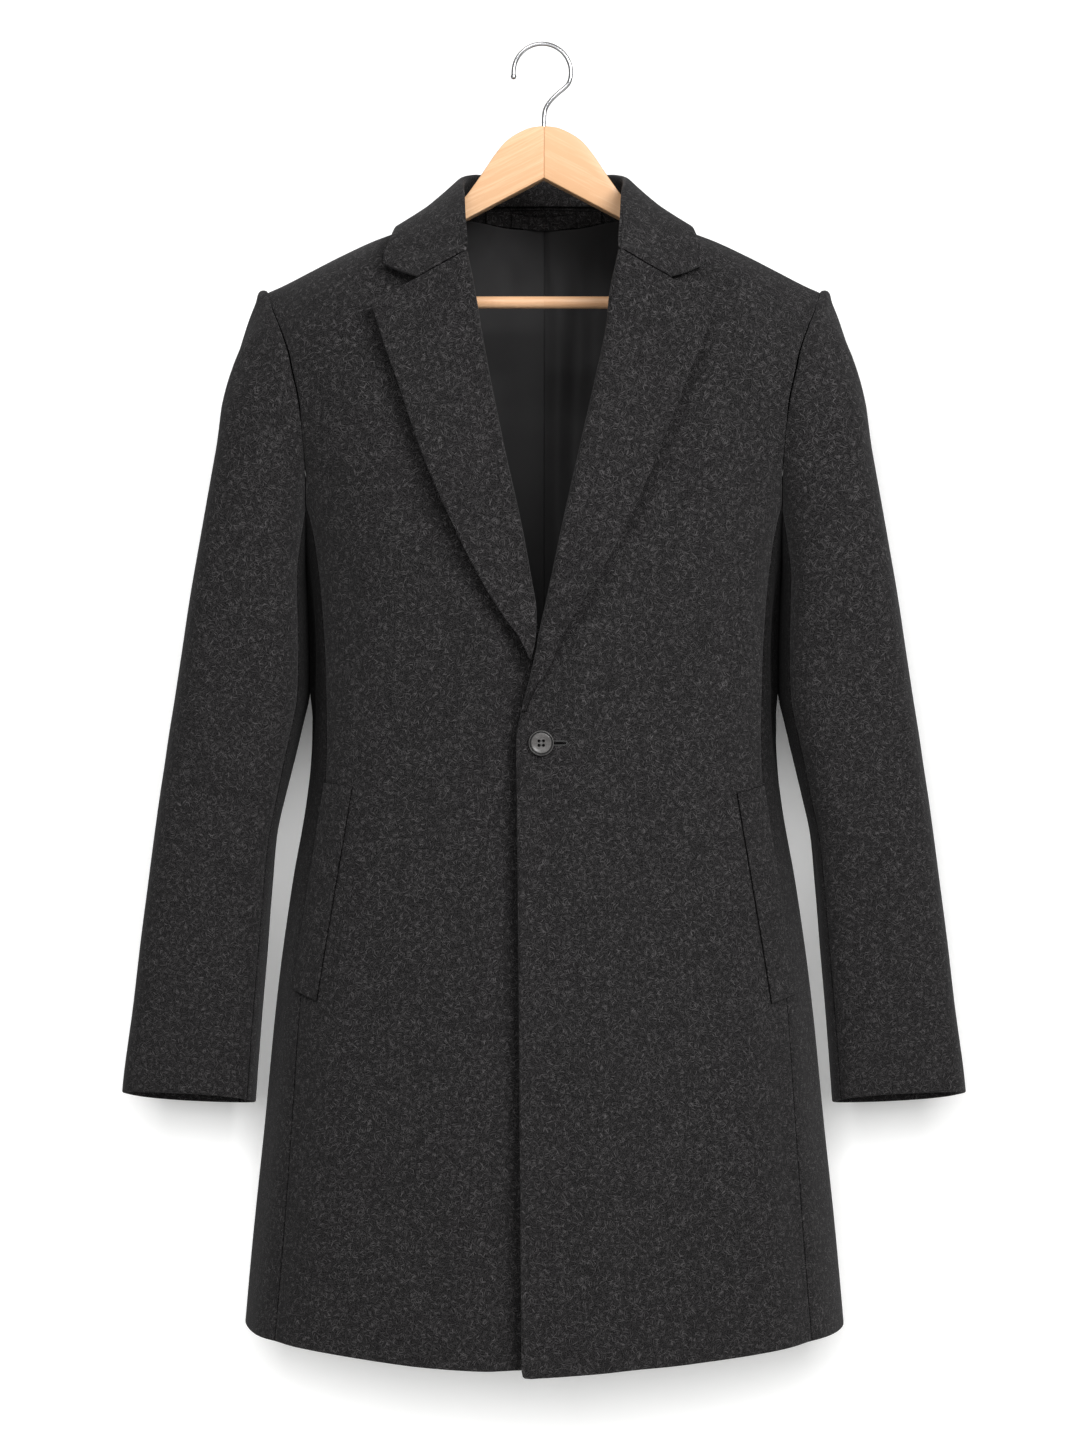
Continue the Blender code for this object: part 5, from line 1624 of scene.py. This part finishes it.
def wood_pattern():
    tree, ins = pattern_group(
        "beech_grain", ("Place", "Vector", None), ("Light", "Color", (0.97, 0.66, 0.40, 1)),
        ("Dark", "Color", (0.80, 0.46, 0.24, 1)), ("Slope", "Float", 0.47), ("Edge", "Float", 0.0080))
    x, y, z = node(tree, "SeparateXYZ", {0: ins["Place"]}).outputs
    side = maths(tree, "GREATER_THAN", x, 0.0)
    along = node(tree, "CombineXYZ", {0: maths(tree, "ABSOLUTE", x), 2: z,
                                      1: maths(tree, "MULTIPLY_ADD", side, 0.31, y)}).outputs[0]
    laid = node(tree, "VectorRotate", {"Vector": along, "Angle": ins["Slope"]},
                rotation_type="Y_AXIS", invert=True).outputs[0]
    warp = noise(tree, laid, 6.0, 1.0, output="Color")
    warped = vector(tree, "MULTIPLY_ADD", warp, (0.010, 0.010, 0.010), laid)
    rings = noise(tree, vector(tree, "MULTIPLY", warped, (6.0, 230.0, 230.0)), 1.6, 5.0, 0.7)
    pores = noise(tree, vector(tree, "MULTIPLY", laid, (60.0, 900.0, 900.0)), 1.0)
    flecks = node(tree, "TexVoronoi", {
        "Vector": vector(tree, "MULTIPLY", laid, (260.0, 900.0, 1100.0)), "Scale": 1.0}, feature="F1")
    chance = node(tree, "SeparateColor", {"Color": flecks.outputs["Color"]}).outputs[0]
    fleck = maths(tree, "MULTIPLY", step_down(tree, flecks.outputs["Distance"], 0.10, 0.34),
                  maths(tree, "LESS_THAN", chance, 0.25))
    tone = ranged(tree, rings, 0.0, 0.75, 0.36, 0.66)
    tone = maths(tree, "MULTIPLY_ADD", side, 0.22, tone)
    tone = maths(tree, "MULTIPLY_ADD", fleck, 0.22, tone)
    tone = maths(tree, "ADD", tone, ranged(tree, pores, -0.08, 0.14, 0.35, 0.75))
    # lighter on the narrow top and bottom of an arm than on its broad faces
    from_face = maths(tree, "SUBTRACT", maths(tree, "ABSOLUTE", y), ins["Edge"])
    rim = ranged(tree, from_face, 0.0, 0.45, -0.0011, -0.0002)
    factor = node(tree, "Clamp", {"Value": maths(tree, "ADD", tone, rim)}).outputs[0]
    return give(tree, blend(tree, factor, ins["Light"], ins["Dark"]), ranged(tree, pores, 0.34, 0.50),
                maths(tree, "MULTIPLY_ADD", pores, 0.5, rings))


def cloudy_pattern():
    """Slow clouds and fine specks, for horn, thread and drawn wire."""
    tree, ins = pattern_group(
        "clouds_and_specks", ("Place", "Vector", None), ("Light", "Color", (0.2, 0.2, 0.2, 1)),
        ("Dark", "Color", (0.1, 0.1, 0.1, 1)), ("Stretch", "Vector", (1.0, 1.0, 1.0)),
        ("Scale", "Float", 200.0), ("Smoothest", "Float", 0.25), ("Roughest", "Float", 0.4))
    place = vector(tree, "MULTIPLY", ins["Place"], ins["Stretch"])
    clouds = noise(tree, place, ins["Scale"], 4.0, 0.6)
    sharp = ranged(tree, clouds, 0.0, 1.0, 0.35, 0.65)
    return give(tree, blend(tree, sharp, ins["Dark"], ins["Light"]),
                ranged(tree, clouds, ins["Smoothest"], ins["Roughest"]), clouds)


# %% Other finishes
GROOVE_INNER, GROOVE_OUTER, GROOVE_BLUR = 0.0082, 0.0094, 0.00015    # radii in the button
GROOVE_SHADE = (0.004, 0.004, 0.004, 1)


def darken_groove(material, centre):
    """Painted shade in a turned groove: darken a ring of the colour."""
    tree = material.node_tree
    base = tree.nodes["Principled BSDF"].inputs["Base Color"]
    colour = base.links[0].from_socket
    apart = vector(tree, "SUBTRACT", object_place(tree), tuple(centre))
    flat = vector(tree, "MULTIPLY", apart, (1.0, 0.0, 1.0))
    radius = node(tree, "VectorMath", {0: flat}, operation="LENGTH").outputs["Value"]
    inside = [step_down(tree, radius, edge - GROOVE_BLUR, edge + GROOVE_BLUR)
              for edge in (GROOVE_INNER, GROOVE_OUTER)]
    in_ring = maths(tree, "SUBTRACT", inside[1], inside[0])
    tree.links.new(blend(tree, in_ring, colour, GROOVE_SHADE), base)


clouds, grain = cloudy_pattern(), wood_pattern()
satin = patterned("satin lining", satin_pattern(), 0.25, 0.0002, {
    "Sheen Weight": 0.05, "Sheen Roughness": 0.4, "Specular IOR Level": 0.09}, on_cloth=True)
horn = patterned("clouded horn", clouds, 0.10, 0.0001, {
    "Coat Weight": 0.15, "Coat Roughness": 0.2, "Specular IOR Level": 0.35},
    Light=(0.125, 0.120, 0.118, 1), Dark=(0.075, 0.071, 0.069, 1), Scale=260.0)
# painted shade in the button's groove
darken_groove(horn, button_seat.translation)
thread = patterned("sewing thread", clouds, 0.6, 0.0001, {
    "Sheen Weight": 0.3, "Sheen Roughness": 0.5},
    Light=(0.040, 0.039, 0.040, 1), Dark=(0.018, 0.018, 0.018, 1), Scale=2600.0,
    Smoothest=0.6, Roughest=0.85)
slit_dark = patterned("shadow in the slit", clouds, 0.3, 0.0001, {"Specular IOR Level": 0.0},
                      Light=(0.006, 0.006, 0.006, 1), Dark=(0.003, 0.003, 0.003, 1), Scale=1800.0,
                      Smoothest=0.9, Roughest=1.0)
beech = patterned("lacquered beech", grain, 0.12, 0.0002, {
    "Coat Weight": 0.22, "Coat Roughness": 0.25, "Specular IOR Level": 0.4})
beech_rod = patterned("lacquered beech rod", grain, 0.12, 0.0002, {
    "Coat Weight": 0.25, "Coat Roughness": 0.22}, Slope=0.0, Edge=0.5,
    Light=(1.0, 0.62, 0.36, 1), Dark=(0.86, 0.46, 0.23, 1))
steel = patterned("bright steel wire", clouds, 0.08, 0.00008, {"Metallic": 1.0},
                  Light=(0.78, 0.78, 0.79, 1), Dark=(0.62, 0.62, 0.64, 1),
                  Stretch=(1.0, 1.0, 0.06), Scale=1400.0, Smoothest=0.10, Roughest=0.24)
print("finishes:", ", ".join(finish.name for finish in (
    wool, satin, horn, thread, slit_dark, beech, beech_rod, steel)))

# %% [markdown]
# ## Putting the pieces on the frame
#
# Every piece rides on the one body, stands for its solid and takes its finish. A table lists how large each
# piece of cloth was cut. Those sizes were measured on the panels while they were being shaped, and are
# within about two percent of what the cells above print.

# %% Finishes and places
CLOTH = {                # width and length of each cut, in metres, and its area
    "front_left": (0.246, 1.035, 0.196), "front_right": (0.247, 1.031, 0.195),
    "side_left": (0.148, 0.682, 0.0736), "side_right": (0.148, 0.682, 0.0736),
    "back_left": (0.281, 0.970, 0.198), "back_right": (0.281, 0.970, 0.198),
    "top_sleeve_left": (0.425, 0.680, 0.1675), "top_sleeve_right": (0.425, 0.680, 0.1675),
    "under_sleeve_left": (0.127, 0.531, 0.0424), "under_sleeve_right": (0.127, 0.531, 0.0424),
    "lapel_left": (0.109, 0.380, 0.0244), "lapel_right": (0.107, 0.333, 0.0236),
    "collar": (0.569, 0.101, 0.0438), "neck_facing": (0.106, 0.018, 0.0017),
    "pocket_welt_left": (0.034, 0.172, 0.0057), "pocket_welt_right": (0.034, 0.176, 0.0058),
    "hanging_loop": (0.058, 0.013, 0.0007),
    "lining_back_left": (0.276, 0.919, 0.186), "lining_back_right": (0.273, 0.920, 0.183),
    "lining_side_left": (0.139, 0.655, 0.0645), "lining_side_right": (0.139, 0.655, 0.0645),
}


def finish_piece(piece, nodes, slot, material):
    piece.data.materials.clear()
    piece.data.materials.append(material)
    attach(piece, "root")
    if nodes:
        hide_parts(*nodes)


TOP_SLEEVE_LENGTHS = ("_head", "_upper", "_lower")
for solid, (width, length, area) in CLOTH.items():
    lengths = TOP_SLEEVE_LENGTHS if solid.startswith("top_sleeve") else ("",)
    finish = ("satin", satin) if solid.startswith("lining") else ("wool", wool)
    finish_piece(pieces[solid], [solid + stretch for stretch in lengths], *finish)
for piece, nodes, slot, material in (
        (button_disc, ["button"], "horn", horn), (button_thread, [], "wool", thread),
        (buttonhole_stitches, [], "wool", thread), (buttonhole_slit, [], "wool", slit_dark),
        (arms, ["hanger_arms"], "beech", beech), (bar, ["hanger_bar"], "beech", beech_rod),
        (hook, ["hanger_hook"], "steel", steel)):
    finish_piece(piece, nodes, slot, material)
print(len(CLOTH), "pieces of cloth cut from", round(sum(v[2] for v in CLOTH.values()), 2), "m2")

# %% [markdown]
# ## Wall, floor and light
#
# A dark coat needs a pale wall close behind it, which takes the soft shadows; only the camera sees its
# front, and to all other rays it is clear. One large soft light stands high on the right of the camera, as
# a window would. A smaller one from above on the left draws the shadow under each edge, a weak one fills
# the front, and the white surroundings do the rest. A fourth lamp lights the wall and nothing else.


# %% Wall and floor
WALL_BEHIND, WALL_HALF, WALL_TOP = 0.220, 5, 3.5
FLOOR_BELOW, FLOOR_HALF, FLOOR_FRONT, FLOOR_BACK = -1.50, 6, -8, 6
WALL_WHITE, FLOOR_WHITE = (1.12, 1.12, 1.115), (0.80, 0.80, 0.79)


def plain_sheet(name, corners, colour):
    mesh = bpy.data.meshes.new(name)
    mesh.from_pydata(corners, [], [tuple(range(len(corners)))])
    sheet = bpy.data.objects.new(name, mesh)
    bpy.context.scene.collection.objects.link(sheet)
    material, tree, shader = new_material(name + " paint")
    tint = ranged(tree, noise(tree, object_place(tree), 300.0), 0.985, 1.0)
    for label, value in (("Base Color", scaled(tree, colour, tint)), ("Roughness", 0.9),
                         ("Specular IOR Level", 0.0)):
        connect(tree, value, shader.inputs[label])
    mesh.materials.append(material)
    return sheet, tree, shader


wall, wall_tree, wall_paint = plain_sheet("wall", [
    (-WALL_HALF, WALL_BEHIND, FLOOR_BELOW), (WALL_HALF, WALL_BEHIND, FLOOR_BELOW),
    (WALL_HALF, WALL_BEHIND, WALL_TOP), (-WALL_HALF, WALL_BEHIND, WALL_TOP)], WALL_WHITE)
see_through = node(wall_tree, "BsdfTransparent")
not_behind = maths(wall_tree, "SUBTRACT", 1.0, node(wall_tree, "NewGeometry").outputs["Backfacing"])
seen_front = maths(wall_tree, "MULTIPLY", node(wall_tree, "LightPath").outputs["Is Camera Ray"], not_behind)
either = node(wall_tree, "MixShader", {0: seen_front, 1: see_through.outputs[0], 2: wall_paint.outputs[0]})
wall_tree.links.new(either.outputs[0], wall_tree.nodes["Material Output"].inputs["Surface"])
plain_sheet("floor", [
    (-FLOOR_HALF, FLOOR_FRONT, FLOOR_BELOW), (FLOOR_HALF, FLOOR_FRONT, FLOOR_BELOW),
    (FLOOR_HALF, FLOOR_BACK, FLOOR_BELOW), (-FLOOR_HALF, FLOOR_BACK, FLOOR_BELOW)], FLOOR_WHITE)
print("the wall stands", WALL_BEHIND, "m behind the hanger")

# %% Lights
LAMPS = {                # place, aim, width, height, watts, and what is done about the wall
    "window": ((1.35, -2.55, 0.8), (0, 0, -0.5), 1.8, 1.1, 82.0, "EXCLUDE"),
    "skylight": ((-0.55, -2.30, 1.55), (0, 0, -0.5), 1.1, 0.8, 22.0, "EXCLUDE"),
    "front fill": ((-0.7, -3.3, 0.0), (0, 0, -0.5), 2.0, 1.6, 13.0, None),
    "wall light": ((0.0, -3.3, -0.15), (0, 0, -0.35), 0.9, 0.9, 112.0, "INCLUDE"),
}
ROOM_WHITE, ROOM_STRENGTH = (1.0, 1.0, 1.0, 1), 0.18


def soft_light(name, place, aim, width, height, power):
    data = bpy.data.lights.new(name, "AREA")
    data.shape, data.size, data.size_y = "RECTANGLE", width, height
    data.energy = power
    lamp = bpy.data.objects.new(name, data)
    lamp.location = place
    lamp.rotation_euler = (Vector(aim) - Vector(place)).to_track_quat("-Z", "Y").to_euler()
    bpy.context.scene.collection.objects.link(lamp)
    return lamp


def light_only(lamp, state, sheet):
    """Make a lamp light this sheet alone, INCLUDE, or all but this sheet, EXCLUDE."""
    chosen = bpy.data.collections.new(lamp.name + " lights")
    chosen.objects.link(sheet)
    for item in chosen.collection_objects:
        item.light_linking.link_state = state
    lamp.light_linking.receiver_collection = chosen


for name, (*how, state) in LAMPS.items():
    lamp = soft_light(name, *how)
    if state:
        light_only(lamp, state, wall)
world = bpy.data.worlds.new("white room")
bpy.context.scene.world = world
world.use_nodes = True
background = world.node_tree.nodes["Background"]
background.inputs[0].default_value = ROOM_WHITE
background.inputs[1].default_value = ROOM_STRENGTH
bpy.context.scene.view_settings.view_transform = "Standard"
bpy.context.scene.view_settings.look = "None"
print(len(LAMPS), "lamps")
